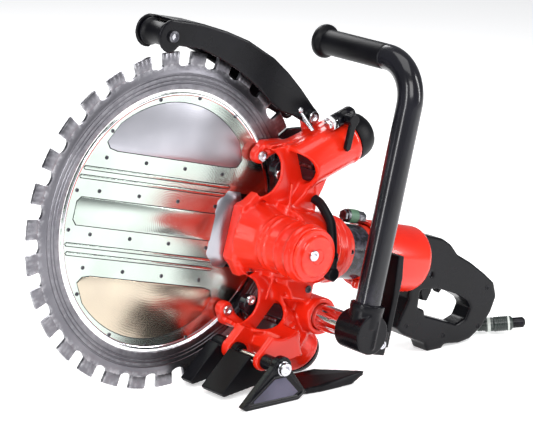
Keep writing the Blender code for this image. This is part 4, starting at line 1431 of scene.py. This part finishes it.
@dataclass
class DriveTrain:
    """The drive wheel, gears and bearings."""

    drive_x: float = 106.3

    def build(self) -> None:
        """Dresses the hidden drive and builds the grooved wheel."""
        for node in ("drive_shaft", "drive_gear", "idler_gear", "shaft_bearing", "gear_cover"):
            dress(node, BRIGHT_STEEL)

        def wheel(bm: bmesh.types.BMesh) -> None:
            """Turns the grooved wheel."""
            profile = [(6.3, -5), (31.8, -5), (33, -4.2), (33, -2.6), (30, -2.2), (30, 2.2), (33, 2.6),
                       (33, 4.2), (31.8, 5), (6.3, 5)]
            lathe_ring(bm, profile, (self.drive_x, 0, 0), (0, 1, 0), 72)
        make_piece("drive_wheel_turned", wheel, (BRIGHT_STEEL,), "drive", ("drive_wheel",), angle=30)
        spots = [(self.drive_x + 20 * math.cos(turn), 5.0, 20 * math.sin(turn))
                 for turn in (math.radians(60 * i) for i in range(6))]
        REPEATER.place("drive_wheel_screws", spots, lambda bm: mirrored_head(bm, ScrewHead(2.8, 1.6)),
                       DARK_STEEL, "drive")


@dataclass
class RearBody:
    """Motor flange, neck, rear tube and the return fitting on it."""

    body: str = "chassis"
    tube_y: float = -52.0

    def build(self) -> None:
        """Builds the tube's turned parts."""
        make_piece("flange_turned", self._flange, (RED_ENAMEL,), self.body, ("motor_flange",), angle=30)
        make_piece("neck_turned", self._neck, (RED_ENAMEL, GLOSS_BLACK), self.body, ("tube_neck",), angle=30)
        make_piece("rear_tube_turned", self._tube, (RED_ENAMEL,), self.body, ("tube_rear",), angle=30)
        make_piece("return_fitting", self._nipple, (DARK_STEEL, BRAID_GREEN), self.body, ("return_nipple",),
                   angle=30)
        for node in ("valve_block", "valve_spool"):
            dress(node, BRIGHT_STEEL)
        spots = []
        for i in range(5):
            turn = math.radians(72 * i + 100)
            spots.append((183.0, self.tube_y + 33 * math.cos(turn), 33 * math.sin(turn)))
        REPEATER.place("flange_bolts", spots, self._bolt, DARK_STEEL, self.body)

    def _lathe(self, bm: bmesh.types.BMesh, profile: Sequence[tuple[float, float]], index: int = 0) -> None:
        """Turns a closed profile about the tube's axis."""
        lathe_ring(bm, profile, (0, self.tube_y, 0), (1, 0, 0), 96, index)

    def _flange(self, bm: bmesh.types.BMesh) -> None:
        """Builds the flange with its rounded shoulder."""
        self._lathe(bm, [(14, 165.3), (35, 165.3), (36, 166.3), (36, 171), (35.2, 172), (35.2, 173),
                         (36, 174), (36, 178.5), (35.4, 180.6), (34, 182.2), (32, 182.9), (14, 182.9)])

    def _neck(self, bm: bmesh.types.BMesh) -> None:
        """Builds the neck; its narrower middle is painted black as painted shade.

        Args:
            bm: the mesh to fill.
        """
        self._lathe(bm, [(14, 183.3), (30, 183.3), (30, 190), (29.4, 191), (14, 191)])
        # The narrower middle takes gloss black: painted shade on the red neck.
        self._lathe(bm, [(14, 191.2), (29.2, 191.2), (29.2, 216), (14, 216)], 1)
        self._lathe(bm, [(14, 216.2), (29.4, 216.2), (30, 217), (30, 224.7), (14, 224.7)])
        rod(bm, (219, self.tube_y - 14, -27), (219, self.tube_y - 14, -36), 5.0)

    def _tube(self, bm: bmesh.types.BMesh) -> None:
        """Builds the rear tube with soft shoulders.

        Args:
            bm: the mesh to fill.
        """
        self._lathe(bm, [(31.5, 225), (33, 225), (34.6, 225.6), (35.6, 227), (36, 229), (36, 297),
                         (35.6, 300), (34.4, 302.6), (32.6, 304), (6.6, 304), (6.6, 299.5), (31.5, 299.5)])

    def _nipple(self, bm: bmesh.types.BMesh) -> None:
        """Builds the return fitting on top of the neck: hexagons and a green band."""
        base = (0, self.tube_y, 37.8)
        for low, high, radius, steps, index in ((190.4, 194, 6.2, 6, 0), (194, 212, 7.1, 24, 0),
                                                (197, 209, 7.5, 24, 1), (212, 220.8, 6.2, 6, 0)):
            lathe(bm, [(0, low), (radius - 0.6, low), (radius, low + 0.6), (radius, high - 0.6),
                       (radius - 0.6, high), (0, high)], base, (1, 0, 0), steps, index)

    def _bolt(self, bm: bmesh.types.BMesh) -> None:
        """Builds a small bolt head that faces rearward."""
        lathe(bm, [(0, -0.4), (2.6, -0.4), (2.6, 1.4), (2.0, 2.0), (0, 2.0)], (0, 0, 0), (1, 0, 0), 6)


@dataclass
class RearHandle:
    """The rear D handle with its trigger and lock."""

    body: str = "chassis"
    near: float = -64.0

    def build(self) -> None:
        """Recasts both shells and the trigger."""
        recast("handle_shells", ("rear_handle_left", "rear_handle_right"), MOULDED_BLACK, self.body, 1.0, 24)
        recast("trigger_blade", ("trigger",), MOULDED_BLACK, "trigger", 0.5, 5)
        recast("trigger_lock_tab", ("trigger_lock",), SOFT_BLACK, "trigger_lock", 0.5, 3)
        dress("trigger_pin", DARK_STEEL)
        spots = [(316, self.near + 0.2, 20), (311, self.near + 0.2, -72), (372, self.near + 0.2, -78),
                 (424, self.near + 0.2, -20), (424, self.near + 0.2, -64)]
        REPEATER.place("handle_shell_screws", spots, ScrewHead(3.2, 0.6).build, SOFT_BLACK, self.body)


@dataclass
class FrontHandle:
    """The bent front handle, its grip, clamp and leg guard."""

    body: str = "front_handle"
    axis: tuple[float, float] = (177.0, -69.0)
    y: float = -131.0
    tube_radius: float = 13.5
    lean: float = math.radians(1.7)
    height: float = 210.0
    bend: float = 44.0
    grip_end: float = 12.0

    def build(self) -> None:
        """Builds the handle's pieces."""
        make_piece("handle_tube", self._tube, (GLOSS_BLACK,), self.body, ("front_handle",))
        make_piece("handle_grip", self._grip, (SOFT_BLACK,), self.body, ("front_grip",), angle=45)
        recast("clamp_cast", ("handle_clamp",), MOULDED_BLACK, self.body, 0.9, 5, self._clamp_rib)
        recast("leg_guard_rubber", ("leg_guard",), SOFT_BLACK, self.body, 0.9, 8)
        make_piece("handle_shaft_chrome", self._shaft, (POLISHED_CHROME,), "chassis", ("handle_shaft",),
                   angle=30)
        x, z = self.axis
        REPEATER.place("clamp_screw", [(x + 18.5, self.y - 13.4, z - 9)], ScrewHead(4.6, 2.4).build,
                       BRIGHT_STEEL, self.body)

    def _lean(self, z: float) -> float:
        """Gives the tube's X at a height."""
        return self.axis[0] - (z - self.axis[1]) * math.tan(self.lean)

    def _tube(self, bm: bmesh.types.BMesh) -> None:
        """Sweeps the bent tube.

        Args:
            bm: the mesh to fill.
        """
        low = self.axis[1] + 22.0
        points = [Vector((self._lean(low + rise), self.y, low + rise)) for rise in (0, 40, 100)]
        for i in range(25):
            turn = math.pi / 2 * i / 24
            z = self.height - self.bend + self.bend * math.sin(turn)
            points.append(Vector((self._lean(z), self.y + self.bend * (1 - math.cos(turn)), z)))
        start = self.y + self.bend + 1
        top = self._lean(self.height)
        points += [Vector((top, start, self.height)), Vector((top, start + 1, self.height)),
                   Vector((top, self.grip_end - 8, self.height))]
        radii = [self.tube_radius] * (len(points) - 2) + [self.tube_radius - 2.6] * 2
        tube(bm, points, radii, 48)

    def _grip(self, bm: bmesh.types.BMesh) -> None:
        """Turns the rubber grip with its end flange.

        Args:
            bm: the mesh to fill.
        """
        start = self.y + self.bend + 2
        end = self.grip_end
        profile = [(11.3, start), (12.6, start), (13.4, start + 0.8), (13.5, start + 2), (13.5, end - 12)]
        profile += [(13.4, end - 9.5), (14.4, end - 8), (16.6, end - 6.8), (17.8, end - 5), (18, end - 2.5),
                    (17.4, end), (15.6, end + 2), (12.5, end + 2.8), (0, end + 3)]
        profile = [(0, end - 4), (11.3, end - 4)] + profile
        lathe(bm, profile, (self._lean(self.height), 0, self.height), (0, 1, 0), 48)

    def _clamp_rib(self, bm: bmesh.types.BMesh) -> None:
        """Adds the clamp's split rib and its collar.

        Args:
            bm: the mesh to fill.
        """
        x, z = self.axis
        rod(bm, (x + 4, self.y - 15.4, z - 15), (x + 3, self.y - 15.4, z + 15), 2.4)
        up = (-math.sin(self.lean), 0, math.cos(self.lean))
        lathe_ring(bm, [(14.4, 24), (18, 24), (18, 29.6), (14.4, 29.6)], (x, self.y, z), up, 48)

    def _shaft(self, bm: bmesh.types.BMesh) -> None:
        """Turns the chrome shaft."""
        x, z = self.axis
        lathe(bm, [(0, -142.9), (12.4, -142.9), (13.9, -141.4), (13.9, -41.2), (13, -40.2), (0, -40.2)],
              (x, 0, z), (0, 1, 0), 64)


@dataclass
class BladeGuard:
    """The hinged guard over the ring, with its roller."""

    body: str = "blade_guard"
    roller: tuple[float, float] = (-62.0, 186.0)
    hinge: tuple[float, float] = (146.0, 131.0)

    def build(self) -> None:
        """Recasts the guard and builds its roller and bolts."""
        recast("guard_shell", ("blade_guard",), MOULDED_BLACK, self.body, 0.95, 10, self._edge)
        make_piece("guard_roller_turned", self._roller, (SOFT_BLACK, BRIGHT_STEEL), "guard_roller",
                   ("guard_roller",), angle=30)
        make_piece("guard_hinge_pin", self._pin, (BRIGHT_STEEL,), "chassis", ("guard_pin",), angle=30)
        REPEATER.place("hinge_screw", [(*self._xz(self.hinge, -21.6),)], ScrewHead(6.6, 3.2).build,
                       BRIGHT_STEEL, "chassis")
        REPEATER.place("roller_screw", [(*self._xz(self.roller, -20.3),)], ScrewHead(6.0, 2.6).build,
                       DARK_STEEL, self.body)

    @staticmethod
    def _xz(place: tuple[float, float], y: float) -> tuple[float, float, float]:
        """Puts a machine X and Z at a Y."""
        return place[0], y, place[1]

    def _edge(self, bm: bmesh.types.BMesh) -> None:
        """Adds the boss round the roller's pin on both walls."""
        for y in (-19.8, 16.8):
            rod(bm, (self.roller[0], y, self.roller[1]), (self.roller[0], y + 3, self.roller[1]), 9.0, 32)

    def _roller(self, bm: bmesh.types.BMesh) -> None:
        """Turns the rubber roller and its pin.

        Args:
            bm: the mesh to fill.
        """
        x, z = self.roller
        profile = [(4.2, -16.4), (12.6, -16.4), (13.9, -15.2), (13.9, -13), (12.4, -11), (11.4, -9),
                   (11.4, 9), (12.4, 11), (13.9, 13), (13.9, 15.2), (12.6, 16.4), (4.2, 16.4)]
        lathe_ring(bm, profile, (x, 0, z), (0, 1, 0), 48, 0)
        lathe(bm, [(0, -21.6), (3.4, -21.6), (3.9, -21), (3.9, 21), (3.4, 21.6), (0, 21.6)],
              (x, 0, z), (0, 1, 0), 24, 1)

    def _pin(self, bm: bmesh.types.BMesh) -> None:
        """Turns the hinge pin."""
        x, z = self.hinge
        lathe(bm, [(0, -21.9), (3.4, -21.9), (3.9, -21.4), (3.9, 21.4), (3.4, 21.9), (0, 21.9)],
              (x, 0, z), (0, 1, 0), 24)


@dataclass
class SplashFlaps:
    """Three swinging flaps on their bolt, and the fixed skirt."""

    pivot: tuple[float, float] = (97.0, -118.0)
    tip: tuple[float, float] = (58.0, -166.0)

    def build(self) -> None:
        """Builds the flaps, the bolt and the skirt."""
        recast("flap_middle_rubber", ("splash_flap_middle",), SOFT_BLACK, "middle_flap", 0.9, 5)
        recast("flap_inner_rubber", ("splash_flap_inner",), SOFT_BLACK, "inner_flap", 0.8, 4)
        recast("flap_outer_rubber", ("splash_flap_outer",), MOULDED_BLACK, "outer_flap", 0.7, 4, self._rim)
        # The face inside the rim carries a painted sheen: pale grey standing in for the light on the black
        # flap.
        make_piece("flap_outer_face", self._face, (FLAP_SHEEN,), "outer_flap", bevel=0.3)
        recast("skirt_rubber", ("splash_skirt",), SOFT_BLACK, "chassis", 0.8, 5)
        make_piece("flap_bolt_turned", self._bolt, (BRIGHT_STEEL,), "chassis", ("flap_bolt",), angle=30)
        x, z = self.pivot
        REPEATER.place("flap_bolt_head", [(x, -113.0, z)], ScrewHead(6.9, 4.8).build, BRIGHT_STEEL,
                       "chassis")

    def _corners(self) -> list[tuple[float, float]]:
        """Gives the outer flap's triangle.

        Returns:
            Machine X and Z of its clipped corners.
        """
        px, pz = self.pivot
        tx, tz = self.tip
        return [(px - 9, pz - 9), (px + 8, pz - 5), (px + 35, pz - 22), (px + 29, pz - 27.5),
                (tx + 4, tz + 6), (tx + 2, tz + 8)]

    def _rim(self, bm: bmesh.types.BMesh) -> None:
        """Adds the raised rim round the outer flap's face.

        Args:
            bm: the mesh to fill.
        """
        corners = self._corners()
        for a, b in zip(corners, corners[1:] + corners[:1]):
            rod(bm, (a[0], -111.4, a[1]), (b[0], -111.4, b[1]), 1.6, 12)

    def _face(self, bm: bmesh.types.BMesh) -> None:
        """Builds the face inside the rim, painted pale as a painted sheen on the black flap.

        Args:
            bm: the mesh to fill.
        """
        corners = self._corners()
        cx = sum(c[0] for c in corners) / len(corners)
        cz = sum(c[1] for c in corners) / len(corners)
        inner = [(cx + (x - cx) * 0.80, cz + (z - cz) * 0.80) for x, z in corners]
        plate(bm, inner, -112.5, -111.2)

    def _bolt(self, bm: bmesh.types.BMesh) -> None:
        """Turns the bolt's shank with its washers."""
        x, z = self.pivot
        lathe(bm, [(0, -113.2), (7.6, -113.2), (7.6, -112.2), (3.9, -112.2), (3.9, -4.2), (0, -4.2)],
              (x, 0, z), (0, 1, 0), 32)


@dataclass
class WaterSupply:
    """The water valve, its lever, union nut and the short hose."""

    body: str = "chassis"
    across: float = 32.0
    along: float = 212.0
    y: float = -46.0
    route: tuple[Point, ...] = (
        (148, -49, 50), (149, -58, 47), (148, -70, 40), (147, -81, 32), (145, -89, 21), (144, -95, 8),
        (146, -97, -6))

    def build(self) -> None:
        """Builds the water parts."""
        make_piece("water_valve_turned", self._valve, (MOULDED_BLACK,), self.body, ("water_valve",), angle=35)
        make_piece("water_union_nut", self._nut, (BRIGHT_STEEL,), self.body, ("water_valve_nut",), bevel=0.4)
        recast("water_lever_bar", ("water_lever",), MOULDED_BLACK, "water_lever", 0.45, 4, self._lever_rib)
        make_piece("water_hose_rubber", self._hose, (SOFT_BLACK,), self.body, ("water_hose",), angle=50)
        make_piece("hose_elbow_moulded", self._elbow, (SOFT_BLACK,), self.body, ("hose_elbow",), angle=40)

    def _base(self) -> Vector:
        """Gives the origin of the valve's axis."""
        x, z = arm_point(0, self.across, 1)
        return Vector((x, self.y, z))

    def _valve(self, bm: bmesh.types.BMesh) -> None:
        """Turns the valve's body."""
        lathe(bm, [(0, 200), (7.4, 200), (8, 200.8), (8, 207), (7.3, 208), (7.3, 210), (8, 211), (8, 222),
                   (7, 224.6), (5, 226.6), (0, 227)], self._base(), arm_direction(1), 40)

    def _nut(self, bm: bmesh.types.BMesh) -> None:
        """Turns the union nut and its spigot."""
        lathe(bm, [(0, 190), (5, 190), (5, 193), (8.4, 193), (8.4, 199.6), (0, 199.6)],
              self._base(), arm_direction(1), 6)

    def _lever_rib(self, bm: bmesh.types.BMesh) -> None:
        """Adds the lever's cap.

        Args:
            bm: the mesh to fill.
        """
        x, z = arm_point(self.along, self.across, 1)
        face = self.y - 8.3
        rod(bm, (x, face - 11.0, z), (x, face - 8, z), 4.5, 24)

    def _hose(self, bm: bmesh.types.BMesh) -> None:
        """Sweeps the hose, a little thinner at each end.

        Args:
            bm: the mesh to fill.
        """
        points = spline(self.route, 10)
        radii = [5.0 if 3 < i < len(points) - 6 else 4.95 for i in range(len(points))]
        tube(bm, points, radii, 28)

    def _elbow(self, bm: bmesh.types.BMesh) -> None:
        """Turns the hose's end fitting with its barbed collar.

        Args:
            bm: the mesh to fill.
        """
        lathe(bm, [(0, -102), (6.2, -102), (7, -101.2), (7, -93), (6, -92), (0, -92)],
              (148.5, 0, -18.5), (0, 1, 0), 36)
        end = Vector(self.route[-1])
        way = (end - Vector(self.route[-2])).normalized()
        lathe(bm, [(0, -9), (5.6, -9), (6.3, -8), (6.3, -5.5), (5.6, -5), (6.3, -4.4), (6.3, -1), (5.4, 0.5),
                   (5.0, 7), (0, 7)], end, way, 32)


@dataclass
class SupplyHose:
    """The braided supply hose with its coupling and clip."""

    body: str = "chassis"
    radius: float = 6.2
    strands: int = 12
    lay: float = 34.0
    route: tuple[Point, ...] = (
        (250, -52, -41.8), (262, -49, -49), (279, -39, -56), (295, -29.4, -61.5), (316, -28, -66),
        (342, -28, -71), (374, -28.3, -75), (408, -28, -75.5), (433, -31.5, -72), (447, -42, -67))

    def build(self) -> None:
        """Builds the braid, the coupling and the clip."""
        make_piece("supply_hose_braid", self._braid, (BRAID_PALE, BRAID_GREEN), self.body, ("supply_hose",),
                   angle=60)
        make_piece("coupling_barrel", self._barrel, (COUPLING_DARK, BRAID_PALE), self.body,
                   ("hose_coupling",), angle=30)
        make_piece("coupling_collar", self._collar, (COUPLING_DARK, BRAID_PALE, MOULDED_BLACK), self.body,
                   ("coupling_sleeve",), angle=30)
        make_piece("supply_fitting", self._fitting, (BRIGHT_STEEL,), self.body, bevel=0.3)
        recast("hose_clip_moulded", ("hose_clip",), MOULDED_BLACK, self.body, 0.5, 3)

    def _end(self) -> tuple[Vector, Vector]:
        """Gives the hose's end and its direction there."""
        points = spline(self.route, 4)
        return points[-1], (points[-1] - points[-2]).normalized()

    def _braid(self, bm: bmesh.types.BMesh) -> None:
        """Winds flat strands both ways round the hose's core, over and under each other.

        Args:
            bm: the mesh to fill.
        """
        points = resample(spline(self.route, 12), 1.6)
        frames = path_frames(points)
        tube(bm, points, [self.radius - 1.0] * len(points), 20, 0)
        step = (points[1] - points[0]).length
        for hand in (1, -1):
            for k in range(self.strands):
                path = []
                for i, (centre, side, up) in enumerate(frames):
                    turn = hand * 2 * math.pi * i * step / self.lay + 2 * math.pi * k / self.strands
                    weave = 0.28 * math.cos(2 * math.pi * i * step * self.strands / self.lay
                                            + (math.pi if hand < 0 else 0.0))
                    reach = self.radius - 0.62 + weave
                    path.append(centre + (side * math.cos(turn) + up * math.sin(turn)) * reach)
                tube(bm, path, [0.62] * len(path), 5, 1 if k % 3 == 0 else 0)

    def _fitting(self, bm: bmesh.types.BMesh) -> None:
        """Turns the steel nut at the hose's start."""
        start, second = (Vector(place) for place in self.route[:2])
        lathe(bm, [(0, 0.5), (7.2, 0.5), (7.2, 7), (6.6, 7.6), (0, 7.6)], start, second - start, 6)

    def _barrel(self, bm: bmesh.types.BMesh) -> None:
        """Turns the crimped ferrule of the coupling.

        Args:
            bm: the mesh to fill.
        """
        end, way = self._end()
        lathe(bm, [(0, 0.3), (6.4, 0.3), (7, 1), (7, 2.2), (6.6, 2.6), (6.6, 3.4), (7, 3.8), (7, 5),
                   (6.6, 5.4), (6.6, 6.2), (7, 6.6), (7, 8.2), (8, 9), (8, 17.4), (7.4, 18), (0, 18)],
              end, way, 40)
        lathe_ring(bm, [(7.2, 11), (8.2, 11), (8.2, 14.5), (7.2, 14.5)], end, way, 40, 1)

    def _collar(self, bm: bmesh.types.BMesh) -> None:
        """Turns the coupling's sliding collar and its nose.

        Args:
            bm: the mesh to fill.
        """
        end, way = self._end()
        profile = [(0, 18.3), (7.8, 18.3), (8.5, 19)]
        for i in range(6):
            at = 20.5 + i * 2.2
            profile += [(8.5, at), (8.1, at + 0.5), (8.1, at + 1.0), (8.5, at + 1.5)]
        profile += [(8.5, 37), (7.6, 38.4), (6, 40), (0, 40)]
        lathe(bm, profile, end, way, 48)
        lathe_ring(bm, [(7.6, 33.8), (8.58, 33.8), (8.58, 36), (7.6, 36)], end, way, 48, 1)
        nose = [(0, 39.5), (5.4, 39.5), (6, 40.4), (6, 51), (5.2, 52.2), (3, 53.9), (0, 53.9)]
        lathe(bm, nose, end, way, 40, 2)


def resample(points: Sequence[Vector], step: float) -> list[Vector]:
    """Walks a path in equal steps.

    Args:
        points: the path.
        step: wanted distance between two points.

    Returns:
        Points at equal distances, the last one at the path's end.
    """
    lengths = [0.0]
    for a, b in zip(points, points[1:]):
        lengths.append(lengths[-1] + (b - a).length)
    count = max(2, round(lengths[-1] / step))
    walked = []
    k = 0
    for i in range(count + 1):
        want = lengths[-1] * i / count
        while k < len(points) - 2 and lengths[k + 1] < want:
            k += 1
        span = lengths[k + 1] - lengths[k] or 1.0
        walked.append(points[k].lerp(points[k + 1], (want - lengths[k]) / span))
    return walked


# ---------------------------------------------------------------- studio
@dataclass
class Studio:
    """Floor, lights and camera."""

    camera_place: tuple[float, float, float] = (-1692.28, -1945.09, 282.52)
    right: tuple[float, float, float] = (0.72602893, -0.65148108, 0.22012359)
    down: tuple[float, float, float] = (0.09460483, -0.22243236, -0.97034724)
    forward: tuple[float, float, float] = (0.68112548, 0.72532493, -0.09985907)
    lens: float = 172.87
    ambient: float = 0.24
    floor_glow: float = 0.50

    def build(self) -> None:
        """Sets up the studio."""
        self._camera()
        self._floor()
        self._world()
        self._lamp("key", (-0.9, -1.5, 1.5), (1.0, 1.0), 20.0)
        self._lamp("strip_left", (-1.6, -0.4, 0.7), (0.25, 1.3), 14.0)
        self._lamp("strip_right", (1.1, -1.1, 0.9), (0.22, 1.3), 16.0)
        self._lamp("back", (0.4, 1.4, 1.3), (1.0, 0.8), 16.0)
        self._lamp("top", (-0.1, -0.1, 1.8), (1.2, 1.2), 13.0)

    def _camera(self) -> None:
        """Places the camera."""
        data = bpy.data.cameras.new("camera")
        data.lens = self.lens
        data.sensor_width = SENSOR_WIDTH
        data.clip_start = 0.05
        camera = bpy.data.objects.new("camera", data)
        x = MACHINE.direction(self.right)
        y = -MACHINE.direction(self.down)
        z = -MACHINE.direction(self.forward)
        turn = Matrix((x, y, z)).transposed().to_4x4()
        camera.matrix_world = Matrix.Translation(MACHINE.point(self.camera_place)) @ turn
        bpy.context.scene.collection.objects.link(camera)
        bpy.context.scene.camera = camera

    def _floor(self) -> None:
        """Lays the pale floor."""
        mesh = bpy.data.meshes.new("studio_floor")
        far = FLOOR_REACH
        mesh.from_pydata([(-far, -far, 0), (far, -far, 0), (far, far, 0), (-far, far, 0)], [], [(0, 1, 2, 3)])
        floor = bpy.data.objects.new("studio_floor", mesh)
        bpy.context.scene.collection.objects.link(floor)
        material = bpy.data.materials.new("floor_white")
        material.use_nodes = True
        nodes, links = material.node_tree.nodes, material.node_tree.links
        shader = nodes["Principled BSDF"]
        shader.inputs["Roughness"].default_value = 0.9
        shader.inputs["Specular IOR Level"].default_value = 0.1
        noise = nodes.new("ShaderNodeTexNoise")
        noise.inputs["Scale"].default_value = 3.0
        place = nodes.new("ShaderNodeTexCoord")
        links.new(place.outputs["Object"], noise.inputs["Vector"])
        blend = mix_colour(nodes)
        blend.inputs[6].default_value = (0.93, 0.93, 0.93, 1)
        blend.inputs[7].default_value = (0.96, 0.96, 0.96, 1)
        links.new(noise.outputs["Fac"], blend.inputs[0])
        links.new(blend.outputs[2], shader.inputs["Base Color"])
        shader.inputs["Emission Color"].default_value = (1, 1, 1, 1)
        shader.inputs["Emission Strength"].default_value = self.floor_glow
        mesh.materials.append(material)

    def _world(self) -> None:
        """Lights the world with an even white."""
        world = bpy.data.worlds.new("studio_world")
        world.use_nodes = True
        nodes, links = world.node_tree.nodes, world.node_tree.links
        seen = nodes["Background"]
        seen.inputs["Color"].default_value = (1.0, 1.0, 1.0, 1)
        seen.inputs["Strength"].default_value = 1.0
        cast = nodes.new("ShaderNodeBackground")
        cast.inputs["Color"].default_value = (0.93, 0.95, 1.0, 1)
        cast.inputs["Strength"].default_value = self.ambient
        ray = nodes.new("ShaderNodeLightPath")
        choice = nodes.new("ShaderNodeMixShader")
        links.new(ray.outputs["Is Camera Ray"], choice.inputs[0])
        links.new(cast.outputs[0], choice.inputs[1])
        links.new(seen.outputs[0], choice.inputs[2])
        links.new(choice.outputs[0], nodes["World Output"].inputs["Surface"])
        bpy.context.scene.world = world
        bpy.context.scene.view_settings.view_transform = "Standard"

    def _lamp(self, name: str, place: Point, size: tuple[float, float], power: float) -> None:
        """Hangs an area lamp that looks at the saw.

        Args:
            name: name of the lamp.
            place: world place in metres.
            size: width and height in metres.
            power: its power in watts.
        """
        data = bpy.data.lights.new(name, "AREA")
        data.shape = "RECTANGLE"
        data.size, data.size_y = size
        data.energy = power
        lamp = bpy.data.objects.new(name, data)
        lamp.location = place
        lamp.rotation_euler = (LAMP_AIM - Vector(place)).to_track_quat("-Z", "Y").to_euler()
        bpy.context.scene.collection.objects.link(lamp)


def main() -> None:
    """Builds the saw and the studio in order."""
    logging.basicConfig(level=logging.INFO)
    for assembly in (Studio(), CuttingRing(), CentreDisc(), Casting(), RollerArms(), DriveTrain(), RearBody(),
                     RearHandle(), FrontHandle(), BladeGuard(), SplashFlaps(), WaterSupply(), SupplyHose()):
        LOG.info("building %s", type(assembly).__name__)
        assembly.build()


if __name__ == "__main__":
    main()
